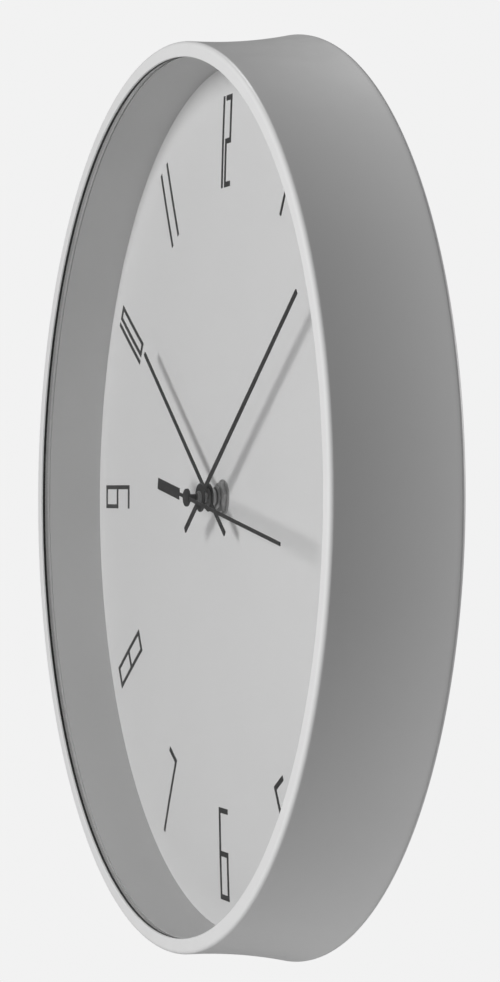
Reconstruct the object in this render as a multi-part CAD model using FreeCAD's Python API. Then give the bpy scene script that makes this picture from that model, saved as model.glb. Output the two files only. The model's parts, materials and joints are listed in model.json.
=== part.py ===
import FreeCAD, Part
import math
import os

# Round quartz wall clock with a deep flared case, glass, domed dial, three hands and a geared movement.
# Millimetres. +Z is up and the dial faces -Y. The wall is the plane y = 0. The origin is on the wall
# plane, at the entry hole of the hanger plate. Every section below works about the hand axis, with
# "depth" counted from the front plane of the rim towards the wall. The export moves it all into place.

# ---- case, glass and dial ----
CASE_DEPTH = 41.0
RIM_RADIUS = 150.0
OPENING_RADIUS = 144.9
BACK_RADIUS = 154.3
RIM_ROUND = 1.6
BACK_ROUND = 1.6
LIP = 0.8
SEAL = 0.9
GLASS = 2.0
GLASS_RADIUS = 145.5
GLASS_POCKET_RADIUS = 145.8
GLASS_CHAMFER = 0.2
RING_RADIUS = 147.2
RING_FRONT_RADIUS, RING_TAPER = 145.3, 6.0
POCKET_RADIUS = 147.5
REAR_INNER_RADIUS = 149.5
REAR_STEP_DEPTH = 25.4
BOSS_RADIUS, BOSS_BORE_RADIUS, BOSS_BORE_LENGTH = 5.2, 1.25, 9.0
DIAL_EDGE_DEPTH = 23.3
DIAL_RISE = 1.8
DIAL_THICK = 0.8
DIAL_CROWN_POWER = 4
DIAL_RADIUS = 147.2
HANGER_ABOVE_AXIS = 105.0

# ---- numerals ----
NUMERAL_INNER = 103.8
NUMERAL_OUTER = 134.7
NUMERAL_HALF_WIDTH = 4.31
STROKE = 1.5
BAR = 1.8
DIGIT_GAP = 1.4
INK = 0.15

# ---- hands: how far each is turned clockwise from twelve, in degrees, and its lengths and widths ----
HOUR_TURN, MINUTE_TURN, SECOND_TURN = 306.4, 54.5, 99.0
HAND_THICK = 0.45
MINUTE_HAND_DEPTH = 13.2
MINUTE_TIP, MINUTE_TAIL, MINUTE_DISC = 108.8, 19.1, 4.8
MINUTE_WIDTH_HUB, MINUTE_WIDTH_TIP = 2.1, 1.8
HOUR_HAND_DEPTH = 16.1
HOUR_TIP, HOUR_TAIL, HOUR_DISC = 86.0, 20.1, 4.7
HOUR_WIDTH_HUB, HOUR_WIDTH_TIP = 1.8, 1.5
SECOND_HAND_DEPTH = 8.45
SECOND_THICK = 0.3
SECOND_TIP, SECOND_TAIL, SECOND_NECK, SECOND_DISC = 89.2, 30.5, 7.7, 3.0
NEEDLE_WIDTH, PADDLE_WIDTH = 1.3, 3.9
SECOND_DISC_DEPTH, SECOND_DISC_THICK = 8.15, 0.9
SECOND_RIVET_RADIUS, SECOND_TUBE_RADIUS, SECOND_TUBE_END = 1.5, 1.2, 11.7
CAP_CHAMFER, CAP_CHAMFER_DEPTH, CAP_WALL = 0.25, 0.15, 0.5
MINUTE_RIVET_RADIUS, MINUTE_COLLAR_RADIUS, MINUTE_COLLAR_REACH = 2.2, 2.5, 0.75
HOUR_RIVET_RADIUS, HOUR_COLLAR_RADIUS = 3.1, 3.3
HOUR_RIVET_REACH, HOUR_COLLAR_REACH = 0.3, 1.35
RIVET_CHAMFER, RIVET_CHAMFER_WIDTH = 0.35, 0.25

# ---- centre stack ----
BUSH_FRONT_DEPTH = 18.4
BUSH_RADIUS = 4.0
THREAD_PITCH = 0.75
THREAD_DEPTH = 0.4
BUSH_COLLAR_RADIUS = 5.5
NUT_DEPTH, NUT_THICK, NUT_CORNER, NUT_TURN = 19.4, 1.6, 5.7, 10
NUT_CHAMFER_WIDTH, NUT_CHAMFER_DEPTH = 0.8, 0.45
WASHER_THICK, WASHER_RADIUS = 0.5, 6.15
RUBBER_WASHER_RADIUS = 12.0
DIAL_HOLE_RADIUS = 4.15
HOUR_PIPE_OUTER, HOUR_PIPE_FRONT = 2.75, 15.6
MINUTE_PIPE_OUTER, MINUTE_PIPE_FRONT = 1.74, 12.0
ARBOR_RADIUS = 0.5
RUNNING_FIT = 0.08
THREAD_CLEARANCE, WASHER_CLEARANCE = 0.03, 0.1

# ---- movement housing ----
MOVEMENT_HALF = 28.0
MOVEMENT_CORNER = 4.0
MOVEMENT_FRONT = 23.0
MOVEMENT_BACK = 38.6
MOVEMENT_SPLIT = 31.0
MOVEMENT_WALL = 1.2
BAY_WALL_LOW, BAY_WALL_HIGH = -11.4, -10.4
BATTERY_Z, BATTERY_DEPTH, BATTERY_RADIUS = -19.0, 31.45, 7.1
BATTERY_NEGATIVE_X, BATTERY_POSITIVE_X = -24.95, 25.55
BATTERY_BUTTON_RADIUS, BATTERY_BUTTON = 2.7, 1.2
BATTERY_END_RADIUS, BATTERY_END = 4.6, 0.3
STATOR_FOOT_RADIUS = 2.0
BOARD_POST_RADIUS, BOARD_POSTS = 1.6, ((-24.5, -6.5), (-18.0, 23.0))
SOCKET_FLOOR = 0.4
STRIP_NOTCHES, STRIP_NOTCH_HALF, STRIP_NOTCH_BACK = (-25.4, -20.2), 1.5, 25.0

# ---- wheels ----
FINE_MODULE = 0.25
MOTION_MODULE = 0.3
ROTOR_TEETH, STEP_TEETH, STEP_PINION = 8, 40, 10
SECOND_TEETH, SECOND_PINION, THIRD_TEETH = 60, 8, 60
THIRD_PINION, CENTRE_TEETH = 8, 64
CANNON_TEETH, MINUTE_TEETH, MINUTE_PINION, HOUR_TEETH = 14, 42, 12, 48
SETTING_TEETH = 14
TOOTH_SLACK = 0.12
WHEEL_THICK = 1.0
HOUR_LAYER, MOTION_LAYER, CENTRE_LAYER = 24.6, 26.0, 28.2
THIRD_LAYER, SECOND_LAYER, STEP_LAYER = 30.4, 32.4, 34.4
CANNON_SHOULDER, CANNON_TAIL_RADIUS = 27.45, 1.54
POST_RADIUS = 0.8
PIVOT_RADIUS, PIVOT_LENGTH, PIVOT_FIT = 0.3, 0.65, 0.06
THICK_ARBOR, THIN_ARBOR, SETTING_ARBOR = 0.45, 0.4, 1.2
ARBOR_END_PLAY = 0.1
SECOND_BOSS_RADIUS, SECOND_BOSS_REACH = 1.4, 1.2
MAGNET_HUB_FRONT, MAGNET_HUB_BACK = 0.4, 0.6
SPRING_RADIUS, SPRING_SHEET, SPRING_COLLAR = 5.0, 0.22, 2.4
STEP_ANGLE, ROTOR_ANGLE, THIRD_ANGLE = 60.0, 20.0, 150.0
MINUTE_WHEEL_ANGLE, SETTING_ANGLE = -20.0, 0.0
MAGNET_RADIUS, MAGNET_BORE_RADIUS, MAGNET_DEPTH, MAGNET_THICK = 3.0, 0.9, 30.9, 1.6
STATOR_DEPTH, STATOR_THICK, STATOR_HOLE = 31.2, 1.0, 3.5
COIL_Z, COIL_LEFT, COIL_RIGHT = 21.5, -0.2, 20.2
COIL_DEPTH = STATOR_DEPTH + STATOR_THICK + 0.5
COIL_RADIUS, BOBBIN_FLANGE, BOBBIN_FLANGE_THICK = 3.5, 3.9, 0.8
BOBBIN_HALF_HEIGHT, BOBBIN_HALF_DEPTH = 2.1, 1.1
CORE_HALF_HEIGHT, CORE_THICK = 1.5, 1.0
LEAD_RADIUS, LEAD_DEPTH = 0.12, 29.5
STATOR_SCREW_RADIUS, STATOR_SCREW_HEAD, STATOR_HOLE_RADIUS = 0.75, 1.5, 0.77
FOOT_LEFT_X, FOOT_RIGHT_X = -3.0, 23.0
SETTING_PIVOT_RADIUS, SETTING_NECK_RADIUS = 0.5, 2.0
SETTING_KNOB_RADIUS, KNOB_FLUTES, FLUTE_RADIUS = 6.5, 24, 0.6
KNOB_GAP, KNOB_THICK, KNOB_HOLLOW_RADIUS, KNOB_HOLLOW = 0.4, 1.7, 4.2, 0.7

# ---- contacts and circuit ----
CONTACT_SHEET, CONTACT_GAP, CONTACT_HALF = 0.3, 0.05, 4.5
CONTACT_TOP, CONTACT_BACK = -12.0, 36.0
STRIP_LEFT, STRIP_RIGHT, STRIP_LOW, STRIP_HIGH = -21.2, -19.2, -14.2, -11.8
TAB_HIGH, NEGATIVE_TAB_LOW, NEGATIVE_TAB_WIDTH = -8.2, -17.0, 2.4
LEAF_HALF_WIDTH, LEAF_FRONT, LEAF_BACK = 3.0, 27.0, 35.6
LEAF_CROWN_FRONT, LEAF_CROWN_BACK = 30.6, 32.3
BOARD_FRONT, BOARD_BACK = 27.0, 27.8
BOARD_LEFT, BOARD_RIGHT, BOARD_LOW, BOARD_HIGH = -26.5, -15.9, -9.2, 25.0
CHIP_X, CHIP_Z, CHIP_SPHERE, CHIP_SUNK, CHIP_HALF = -21.0, 2.0, 4.2, 2.9, 5.0
CRYSTAL_X, CRYSTAL_LOW, CRYSTAL_RADIUS, CRYSTAL_LENGTH = -19.5, 11.0, 1.0, 6.0
CRYSTAL_LEG_RADIUS, CRYSTAL_LEG_LENGTH, CRYSTAL_LEG_X = 0.15, 2.0, 0.4
LEAD_ENDS = ((-17.0, 25.2), (-18.4, 24.0))
STATOR_SCREW_LENGTH, STATOR_HEAD_THICK = 5.0, 0.9

# ---- rear cover ----
COVER_DEPTH, COVER_BACK, COVER_RADIUS = 37.6, 40.0, 149.2
COVER_SCREWS = 6
COVER_SCREW_RADIUS = 144.5
COVER_SCREW_SEAT = 1.1
COVER_SCREW_HOLE, COVER_SCREW_RECESS = 1.7, 3.4
COVER_SCREW_HEAD, COVER_HEAD_THICK, COVER_SCREW_LENGTH = 2.8, 1.5, 8.0
COVER_EDGE, HANGER_REBATE_GAP = 0.6, 0.2
COVER_GROOVES, GROOVE_WIDTH, GROOVE_DEPTH = (72.0, 126.0), 1.2, 0.5
DIAL_WALL_GAP = 0.1
DIAL_WALL_OUTER, DIAL_WALL_INNER = 138.5, 136.5
WINDOW_HALF, WINDOW_CORNER = 35.0, 4.2
WINDOW_WALL, WINDOW_WALL_FRONT = 1.8, 24.0
HANGER_BOX_FRONT, HANGER_POCKET_FRONT, HANGER_POCKET_HALF = 30.5, 32.5, 16.0
HANGER_HALF_X, HANGER_HALF_Z, HANGER_THICK = 27.0, 13.0, 1.0
KEYHOLE_RADIUS, KEYHOLE_SLOT, KEYHOLE_RISE = 5.0, 4.4, 9.0
HANGER_SCREW_X, HANGER_SCREW_RADIUS, HANGER_SCREW_LENGTH = 21.0, 1.3, 7.0
HANGER_HEAD_THICK, HANGER_CORNER, HANGER_TOP_EXTRA = 0.85, 3.0, 3.0
HANGER_LOW = HANGER_ABOVE_AXIS - HANGER_HALF_Z
HANGER_HIGH = HANGER_ABOVE_AXIS + HANGER_HALF_Z + HANGER_TOP_EXTRA

ORIGIN = FreeCAD.Vector(0, 0, 0)
Y_AXIS = FreeCAD.Vector(0, 1, 0)

MOVEMENT_INNER_FRONT = MOVEMENT_FRONT + MOVEMENT_WALL
MOVEMENT_INNER_BACK = MOVEMENT_BACK - MOVEMENT_WALL
DIAL_CENTRE_DEPTH = DIAL_EDGE_DEPTH - DIAL_RISE
GLASS_FRONT = LIP + SEAL
GLASS_BACK = GLASS_FRONT + GLASS


# ---- basic shapes ----

def spot(x, depth, z):
    """A point given by its depth behind the rim's front plane."""
    return FreeCAD.Vector(x, depth - CASE_DEPTH, z)


def rod(radius, start, end, x=0.0, z=0.0):
    """A round bar along the depth direction."""
    return Part.makeCylinder(radius, end - start, spot(x, start, z), Y_AXIS)


def tube(outer, inner, start, end, x=0.0, z=0.0):
    """A round bar with a bore right through."""
    return rod(outer, start, end, x, z).cut(rod(inner, start - 1, end + 1, x, z))


def cross_rod(radius, x_start, x_end, depth, z):
    """A round bar along X."""
    return Part.makeCylinder(radius, x_end - x_start, spot(x_start, depth, z), FreeCAD.Vector(1, 0, 0))


def slab(x_low, x_high, z_low, z_high, start, end):
    """A rectangular block between two depths."""
    return Part.makeBox(x_high - x_low, end - start, z_high - z_low, spot(x_low, start, z_low))


def prism(outline, start, end):
    """A closed outline of (x, z) points, given thickness between two depths."""
    points = [spot(x, start, z) for x, z in outline]
    face = Part.Face(Part.makePolygon(points + points[:1]))
    return face.extrude(Y_AXIS * (end - start))


def turned(outline):
    """A closed outline of (radius, depth) points, turned about the hand axis."""
    points = [spot(radius, depth, 0) for radius, depth in outline]
    face = Part.Face(Part.makePolygon(points + points[:1]))
    return face.revolve(ORIGIN, Y_AXIS, 360)


def rounded_block(half, corner, start, end):
    """A square block about the hand axis with its four upright edges rounded."""
    block = slab(-half, half, -half, half, start, end)
    upright = [e for e in block.Edges if abs(e.tangentAt(e.FirstParameter).y) > 0.99]
    return block.makeFillet(corner, upright)


def fused(shapes):
    """One shape out of several that touch or overlap."""
    whole = shapes[0].multiFuse(shapes[1:]) if len(shapes) > 1 else shapes[0]
    return whole.removeSplitter()


def turned_about_axis(shape, degrees):
    """A copy turned clockwise, as the dial is read, about the hand axis."""
    copy = shape.copy()
    copy.rotate(ORIGIN, Y_AXIS, degrees)
    return copy


# ---- case ----

def flare_radius():
    """Radius of the arc that widens the case from the rim to the back."""
    length = CASE_DEPTH - BACK_ROUND - RIM_ROUND
    rise = BACK_RADIUS - RIM_RADIUS
    return (length * length + rise * rise) / (2 * rise)


def flare_at(depth):
    """Outer radius of the case at a depth on the flare."""
    arc = flare_radius()
    return RIM_RADIUS + arc - math.sqrt(arc * arc - (depth - RIM_ROUND) ** 2)


def case_outline():
    """Section of the case: rim, flared side, back edge, inner steps and the lip."""
    flare_end = CASE_DEPTH - BACK_ROUND
    corner = math.sin(math.radians(45))
    back_edge = BACK_RADIUS - BACK_ROUND
    rim_middle = spot(RIM_RADIUS - RIM_ROUND * (1 - corner), RIM_ROUND * (1 - corner), 0)
    flare_middle = spot(flare_at((RIM_ROUND + flare_end) / 2), (RIM_ROUND + flare_end) / 2, 0)
    back_middle = spot(back_edge + BACK_ROUND * corner, flare_end + BACK_ROUND * corner, 0)
    rim_start = spot(RIM_RADIUS - RIM_ROUND, 0, 0)
    rim_end = spot(RIM_RADIUS, RIM_ROUND, 0)
    side_end = spot(BACK_RADIUS, flare_end, 0)
    back_start = spot(back_edge, CASE_DEPTH, 0)
    inner = [
        (REAR_INNER_RADIUS, CASE_DEPTH),
        (REAR_INNER_RADIUS, REAR_STEP_DEPTH),
        (POCKET_RADIUS, REAR_STEP_DEPTH),
        (POCKET_RADIUS, GLASS_BACK),
        (GLASS_POCKET_RADIUS, GLASS_BACK),
        (GLASS_POCKET_RADIUS, LIP),
        (OPENING_RADIUS, LIP),
        (OPENING_RADIUS, 0),
    ]
    points = [back_start] + [spot(r, d, 0) for r, d in inner] + [rim_start]
    edges = [
        Part.Arc(rim_start, rim_middle, rim_end).toShape(),
        Part.Arc(rim_end, flare_middle, side_end).toShape(),
        Part.Arc(side_end, back_middle, back_start).toShape(),
    ]
    edges += [Part.LineSegment(a, b).toShape() for a, b in zip(points, points[1:])]
    return Part.Wire(edges)


def cover_screw_places():
    """Where the rear cover's screws stand, as (x, z)."""
    turns = [math.radians(30 + 360 * i / COVER_SCREWS) for i in range(COVER_SCREWS)]
    return [(COVER_SCREW_RADIUS * math.cos(a), COVER_SCREW_RADIUS * math.sin(a)) for a in turns]


def case_shell():
    shell = Part.Face(case_outline()).revolve(ORIGIN, Y_AXIS, 360)
    bosses = []
    for x, z in cover_screw_places():
        boss = rod(BOSS_RADIUS, REAR_STEP_DEPTH, COVER_DEPTH, x, z)
        bosses.append(boss.common(rod(REAR_INNER_RADIUS + 0.5, 0, CASE_DEPTH)))
    shell = fused([shell] + bosses)
    for x, z in cover_screw_places():
        shell = shell.cut(rod(BOSS_BORE_RADIUS, COVER_DEPTH - BOSS_BORE_LENGTH, COVER_DEPTH + 1, x, z))
    return shell


def lens_seal():
    return tube(GLASS_POCKET_RADIUS, OPENING_RADIUS, LIP, GLASS_FRONT)


def lens():
    flat_radius = GLASS_RADIUS - GLASS_CHAMFER
    return turned([
        (0, GLASS_FRONT), (flat_radius, GLASS_FRONT), (GLASS_RADIUS, GLASS_FRONT + GLASS_CHAMFER),
        (GLASS_RADIUS, GLASS_BACK - GLASS_CHAMFER), (flat_radius, GLASS_BACK), (0, GLASS_BACK),
    ])


def inner_ring():
    """The plain wall between the glass and the dial, opened a little towards the glass."""
    return turned([
        (RING_FRONT_RADIUS, GLASS_BACK), (RING_RADIUS, GLASS_BACK), (RING_RADIUS, DIAL_EDGE_DEPTH),
        (OPENING_RADIUS, DIAL_EDGE_DEPTH), (OPENING_RADIUS, GLASS_BACK + RING_TAPER),
    ])


# ---- dial ----

def dial_depth(radius):
    """Depth of the dial's front at a radius: nearly flat in the middle and falling to the edge."""
    share = min(radius / OPENING_RADIUS, 1.0)
    return DIAL_EDGE_DEPTH - DIAL_RISE * (1 - share ** DIAL_CROWN_POWER)


def crowned_layer(outer, front_offset, back_offset):
    """A disc that follows the dial's crown, between two offsets from the dial's front."""
    radii = [outer * i / 12 for i in range(13)]
    front = Part.BSplineCurve()
    front.interpolate([spot(r, dial_depth(r) + front_offset, 0) for r in radii])
    back = Part.BSplineCurve()
    back.interpolate([spot(r, dial_depth(r) + back_offset, 0) for r in radii])
    edges = [
        front.toShape(),
        Part.LineSegment(front.EndPoint, back.EndPoint).toShape(),
        back.toShape(),
        Part.LineSegment(back.StartPoint, front.StartPoint).toShape(),
    ]
    wire = Part.Wire(Part.__sortEdges__(edges))
    return Part.Face(wire).revolve(ORIGIN, Y_AXIS, 360)


def dial_plate():
    crown = crowned_layer(OPENING_RADIUS, 0, DIAL_THICK)
    flange = tube(DIAL_RADIUS, OPENING_RADIUS, DIAL_EDGE_DEPTH, DIAL_EDGE_DEPTH + DIAL_THICK)
    plate = fused([crown, flange])
    return plate.cut(rod(DIAL_HOLE_RADIUS, DIAL_CENTRE_DEPTH - 2, DIAL_CENTRE_DEPTH + 3))


SEGMENTS = {
    "0": "top upper_left upper_right lower_left lower_right bottom",
    "2": "top upper_right middle lower_left bottom",
    "3": "top upper_right middle lower_right bottom",
    "4": "upper_left upper_right middle lower_right",
    "5": "top upper_left middle lower_right bottom",
    "6": "top upper_left middle lower_left lower_right bottom",
    "7": "top upper_right lower_right",
    "8": "top upper_left upper_right middle lower_left lower_right bottom",
    "9": "top upper_left upper_right middle lower_right bottom",
}


def stroke_boxes(digit, left, right):
    """The straight strokes of one digit, as (left, right, low, high) about the numeral's middle."""
    top = (NUMERAL_OUTER - NUMERAL_INNER) / 2
    half_bar = BAR / 2
    if digit == "1":
        middle = (left + right) / 2
        return [(middle - STROKE / 2, middle + STROKE / 2, -top, top)]
    boxes = {
        "top": (left, right, top - BAR, top),
        "middle": (left, right, -half_bar, half_bar),
        "bottom": (left, right, -top, -top + BAR),
        "upper_left": (left, left + STROKE, -half_bar, top),
        "upper_right": (right - STROKE, right, -half_bar, top),
        "lower_left": (left, left + STROKE, -top, half_bar),
        "lower_right": (right - STROKE, right, -top, half_bar),
    }
    return [boxes[name] for name in SEGMENTS[digit].split()]


def numeral_digits(number):
    """The digits of a numeral with the space each one fills across the numeral."""
    half = NUMERAL_HALF_WIDTH
    if number < 10:
        return [(str(number), -half, half)]
    tens = ("1", -half, -half + STROKE)
    if number == 11:
        return [tens, ("1", half - STROKE, half)]
    return [tens, (str(number - 10), -half + STROKE + DIGIT_GAP, half)]


def dial_numerals():
    """Twelve numerals of straight strokes, printed on the crowned dial. 4 to 8 read from the centre."""
    ink_layer = crowned_layer(NUMERAL_OUTER + 6, -INK, 0)
    middle_radius = (NUMERAL_INNER + NUMERAL_OUTER) / 2
    solids = []
    for number in range(1, 13):
        flipped = 4 <= number <= 8
        for digit, left, right in numeral_digits(number):
            strokes = [
                slab(a, b, low, high, DIAL_CENTRE_DEPTH - 3, DIAL_EDGE_DEPTH + 3)
                for a, b, low, high in stroke_boxes(digit, left, right)
            ]
            shape = fused(strokes)
            if flipped:
                shape.rotate(ORIGIN, Y_AXIS, 180)
            shape.translate(FreeCAD.Vector(0, 0, middle_radius))
            solids += turned_about_axis(shape, 30 * number).common(ink_layer).Solids
    return Part.makeCompound(solids)


# ---- hands ----

def blade(tip, tail, width_hub, width_tip, start, thick):
    """A straight bar that points at twelve, widest at the hub and cut off square at both ends."""
    outline = [
        (-width_tip / 2, tip), (width_tip / 2, tip), (width_hub / 2, 0),
        (width_hub / 2, -tail), (-width_hub / 2, -tail), (-width_hub / 2, 0),
    ]
    return prism(outline, start, start + thick)


def minute_hand():
    start, end = MINUTE_HAND_DEPTH, MINUTE_HAND_DEPTH + HAND_THICK
    bar = blade(MINUTE_TIP, MINUTE_TAIL, MINUTE_WIDTH_HUB, MINUTE_WIDTH_TIP, start, HAND_THICK)
    hand = fused([bar, rod(MINUTE_DISC, start, end)])
    return turned_about_axis(hand.cut(rod(MINUTE_RIVET_RADIUS, start - 1, end + 1)), MINUTE_TURN)


def minute_hand_bush():
    """The collar that grips the minute pipe, riveted through the hand."""
    hand_back = MINUTE_HAND_DEPTH + HAND_THICK
    front, back = MINUTE_HAND_DEPTH - MINUTE_COLLAR_REACH, hand_back + MINUTE_COLLAR_REACH
    shoulder = front + RIVET_CHAMFER
    collar = fused([
        rod(MINUTE_RIVET_RADIUS, shoulder, back),
        rod(MINUTE_COLLAR_RADIUS, hand_back, back),
        turned([
            (0, front), (MINUTE_RIVET_RADIUS - RIVET_CHAMFER_WIDTH, front),
            (MINUTE_RIVET_RADIUS, shoulder), (0, shoulder),
        ]),
    ])
    return collar.cut(rod(MINUTE_PIPE_OUTER, front - 1, back + 1))


def hour_hand():
    start, end = HOUR_HAND_DEPTH, HOUR_HAND_DEPTH + HAND_THICK
    bar = blade(HOUR_TIP, HOUR_TAIL, HOUR_WIDTH_HUB, HOUR_WIDTH_TIP, start, HAND_THICK)
    hand = fused([bar, rod(HOUR_DISC, start, end)])
    return turned_about_axis(hand.cut(rod(HOUR_RIVET_RADIUS, start - 1, end + 1)), HOUR_TURN)


def hour_hand_bush():
    """The collar that grips the hour pipe, riveted through the hand."""
    hand_back = HOUR_HAND_DEPTH + HAND_THICK
    front, back = HOUR_HAND_DEPTH - HOUR_RIVET_REACH, hand_back + HOUR_COLLAR_REACH
    collar = fused([
        rod(HOUR_RIVET_RADIUS, front, back),
        rod(HOUR_COLLAR_RADIUS, hand_back, back),
    ])
    return collar.cut(rod(HOUR_PIPE_OUTER, front - 1, back + 1))


def second_hand():
    start, end = SECOND_HAND_DEPTH, SECOND_HAND_DEPTH + SECOND_THICK
    half_needle, half_paddle = NEEDLE_WIDTH / 2, PADDLE_WIDTH / 2
    outline = [
        (-half_needle, SECOND_TIP), (half_needle, SECOND_TIP), (half_needle, -SECOND_NECK),
        (half_paddle, -SECOND_NECK), (half_paddle, -SECOND_TAIL), (-half_paddle, -SECOND_TAIL),
        (-half_paddle, -SECOND_NECK), (-half_needle, -SECOND_NECK),
    ]
    hand = fused([prism(outline, start, end), rod(SECOND_DISC, start, end)])
    return turned_about_axis(hand.cut(rod(SECOND_RIVET_RADIUS, start - 1, end + 1)), SECOND_TURN)


def second_hand_hub():
    """The cap and the thin tube that push on to the second arbor."""
    cap_end = SECOND_DISC_DEPTH + SECOND_DISC_THICK
    hand_end = SECOND_HAND_DEPTH + SECOND_THICK
    cap = fused([
        turned([
            (0, SECOND_DISC_DEPTH), (SECOND_DISC - CAP_CHAMFER, SECOND_DISC_DEPTH),
            (SECOND_DISC, SECOND_DISC_DEPTH + CAP_CHAMFER_DEPTH), (SECOND_DISC, SECOND_HAND_DEPTH),
            (SECOND_RIVET_RADIUS, SECOND_HAND_DEPTH), (SECOND_RIVET_RADIUS, hand_end),
            (SECOND_DISC, hand_end), (SECOND_DISC, cap_end), (0, cap_end),
        ]),
        rod(SECOND_TUBE_RADIUS, cap_end, SECOND_TUBE_END),
    ])
    return cap.cut(rod(ARBOR_RADIUS, SECOND_DISC_DEPTH + CAP_WALL, SECOND_TUBE_END + 1))


# ---- centre fasteners ----

def threaded_bush():
    """The fixing bush: ringed like its thread in front, with a collar moulded into the housing."""
    crest, root = BUSH_RADIUS, BUSH_RADIUS - THREAD_DEPTH
    outline = [(HOUR_PIPE_OUTER + RUNNING_FIT, BUSH_FRONT_DEPTH), (root, BUSH_FRONT_DEPTH)]
    depth = BUSH_FRONT_DEPTH
    while depth + THREAD_PITCH < MOVEMENT_FRONT - 0.3:
        outline.append((crest, depth + THREAD_PITCH / 2))
        outline.append((root, depth + THREAD_PITCH))
        depth += THREAD_PITCH
    outline += [
        (crest, MOVEMENT_FRONT - 0.2), (crest, MOVEMENT_FRONT), (BUSH_COLLAR_RADIUS, MOVEMENT_FRONT),
        (BUSH_COLLAR_RADIUS, MOVEMENT_INNER_FRONT), (HOUR_PIPE_OUTER + RUNNING_FIT, MOVEMENT_INNER_FRONT),
    ]
    return turned(outline)


def hex_nut():
    turns = [math.radians(60 * i + NUT_TURN) for i in range(6)]
    corners = [(NUT_CORNER * math.cos(a), NUT_CORNER * math.sin(a)) for a in turns]
    end = NUT_DEPTH + NUT_THICK
    nut = prism(corners, NUT_DEPTH, end)
    chamfer = turned([
        (0, NUT_DEPTH), (NUT_CORNER - NUT_CHAMFER_WIDTH, NUT_DEPTH),
        (NUT_CORNER, NUT_DEPTH + NUT_CHAMFER_DEPTH),
        (NUT_CORNER, end), (0, end),
    ])
    return nut.common(chamfer).cut(rod(BUSH_RADIUS + THREAD_CLEARANCE, NUT_DEPTH - 1, end + 1))


def brass_washer():
    bore = BUSH_RADIUS + WASHER_CLEARANCE
    return tube(WASHER_RADIUS, bore, DIAL_CENTRE_DEPTH - WASHER_THICK, DIAL_CENTRE_DEPTH)


def rubber_washer():
    start = DIAL_CENTRE_DEPTH + DIAL_THICK + 0.01
    return tube(RUBBER_WASHER_RADIUS, BUSH_RADIUS + WASHER_CLEARANCE, start, MOVEMENT_FRONT)


# ---- wheels ----

def tip_lean(pitch_radius, rolling_radius, tip_radius):
    """How far a cycloidal flank leans over, in radians, between the pitch circle and the tip."""
    reach = pitch_radius + rolling_radius
    cosine = (reach ** 2 + rolling_radius ** 2 - tip_radius ** 2) / (2 * reach * rolling_radius)
    rolled = math.acos(cosine)
    turn = rolled * rolling_radius / pitch_radius
    across = reach * math.sin(turn) - rolling_radius * math.sin(turn + rolled)
    along = reach * math.cos(turn) - rolling_radius * math.cos(turn + rolled)
    return math.atan2(across, along)


def gear(place, teeth, mate_teeth, module, phase, start, end=None):
    """A toothed disc with straight roots and cycloidal tips, and one tooth at the phase angle."""
    end = end or start + WHEEL_THICK
    pitch = module * teeth / 2
    drives = teeth > mate_teeth
    tip = pitch + module * (1.0 if drives else 0.65)
    root = pitch - module * (0.9 if drives else 1.25)
    lean = tip_lean(pitch, module * mate_teeth / 4, tip)
    half = math.pi / (2 * teeth) * (1 - TOOTH_SLACK)
    outline = []
    for i in range(teeth):
        middle = phase + 2 * math.pi * i / teeth
        flank = [
            (root, -half), (pitch, -half), (tip, lean - half),
            (tip, half - lean), (pitch, half), (root, half),
        ]
        for radius, turn in flank:
            x = place[0] + radius * math.cos(middle + turn)
            z = place[1] + radius * math.sin(middle + turn)
            outline.append((x, z))
    return prism(outline, start, end)


def away(place, degrees, distance):
    """The place at a distance from another, in a direction counted from +X towards +Z."""
    turn = math.radians(degrees)
    return (place[0] + distance * math.cos(turn), place[1] + distance * math.sin(turn))


def meshed_phase(place, teeth, phase, mate, mate_teeth):
    """The phase at which a mating gear's gap takes this gear's tooth on the line between them."""
    line = math.atan2(mate[1] - place[1], mate[0] - place[0])
    return line + math.pi + math.pi / mate_teeth - (phase - line) * teeth / mate_teeth


def pair_distance(teeth, mate_teeth, module):
    return module * (teeth + mate_teeth) / 2


AXIS = (0.0, 0.0)
STEP_PLACE = away(AXIS, STEP_ANGLE, pair_distance(STEP_PINION, SECOND_TEETH, FINE_MODULE))
ROTOR_PLACE = away(STEP_PLACE, ROTOR_ANGLE, pair_distance(ROTOR_TEETH, STEP_TEETH, FINE_MODULE))
THIRD_DISTANCE = pair_distance(SECOND_PINION, THIRD_TEETH, FINE_MODULE)
THIRD_PLACE = away(AXIS, THIRD_ANGLE, THIRD_DISTANCE)
CENTRE_MODULE = 2 * THIRD_DISTANCE / (THIRD_PINION + CENTRE_TEETH)
MOTION_DISTANCE = pair_distance(CANNON_TEETH, MINUTE_TEETH, MOTION_MODULE)
MINUTE_WHEEL_PLACE = away(AXIS, MINUTE_WHEEL_ANGLE, MOTION_DISTANCE)
HOUR_MODULE = 2 * MOTION_DISTANCE / (MINUTE_PINION + HOUR_TEETH)
SETTING_DISTANCE = pair_distance(SETTING_TEETH, MINUTE_TEETH, MOTION_MODULE)
SETTING_PLACE = away(MINUTE_WHEEL_PLACE, SETTING_ANGLE, SETTING_DISTANCE)

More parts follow.
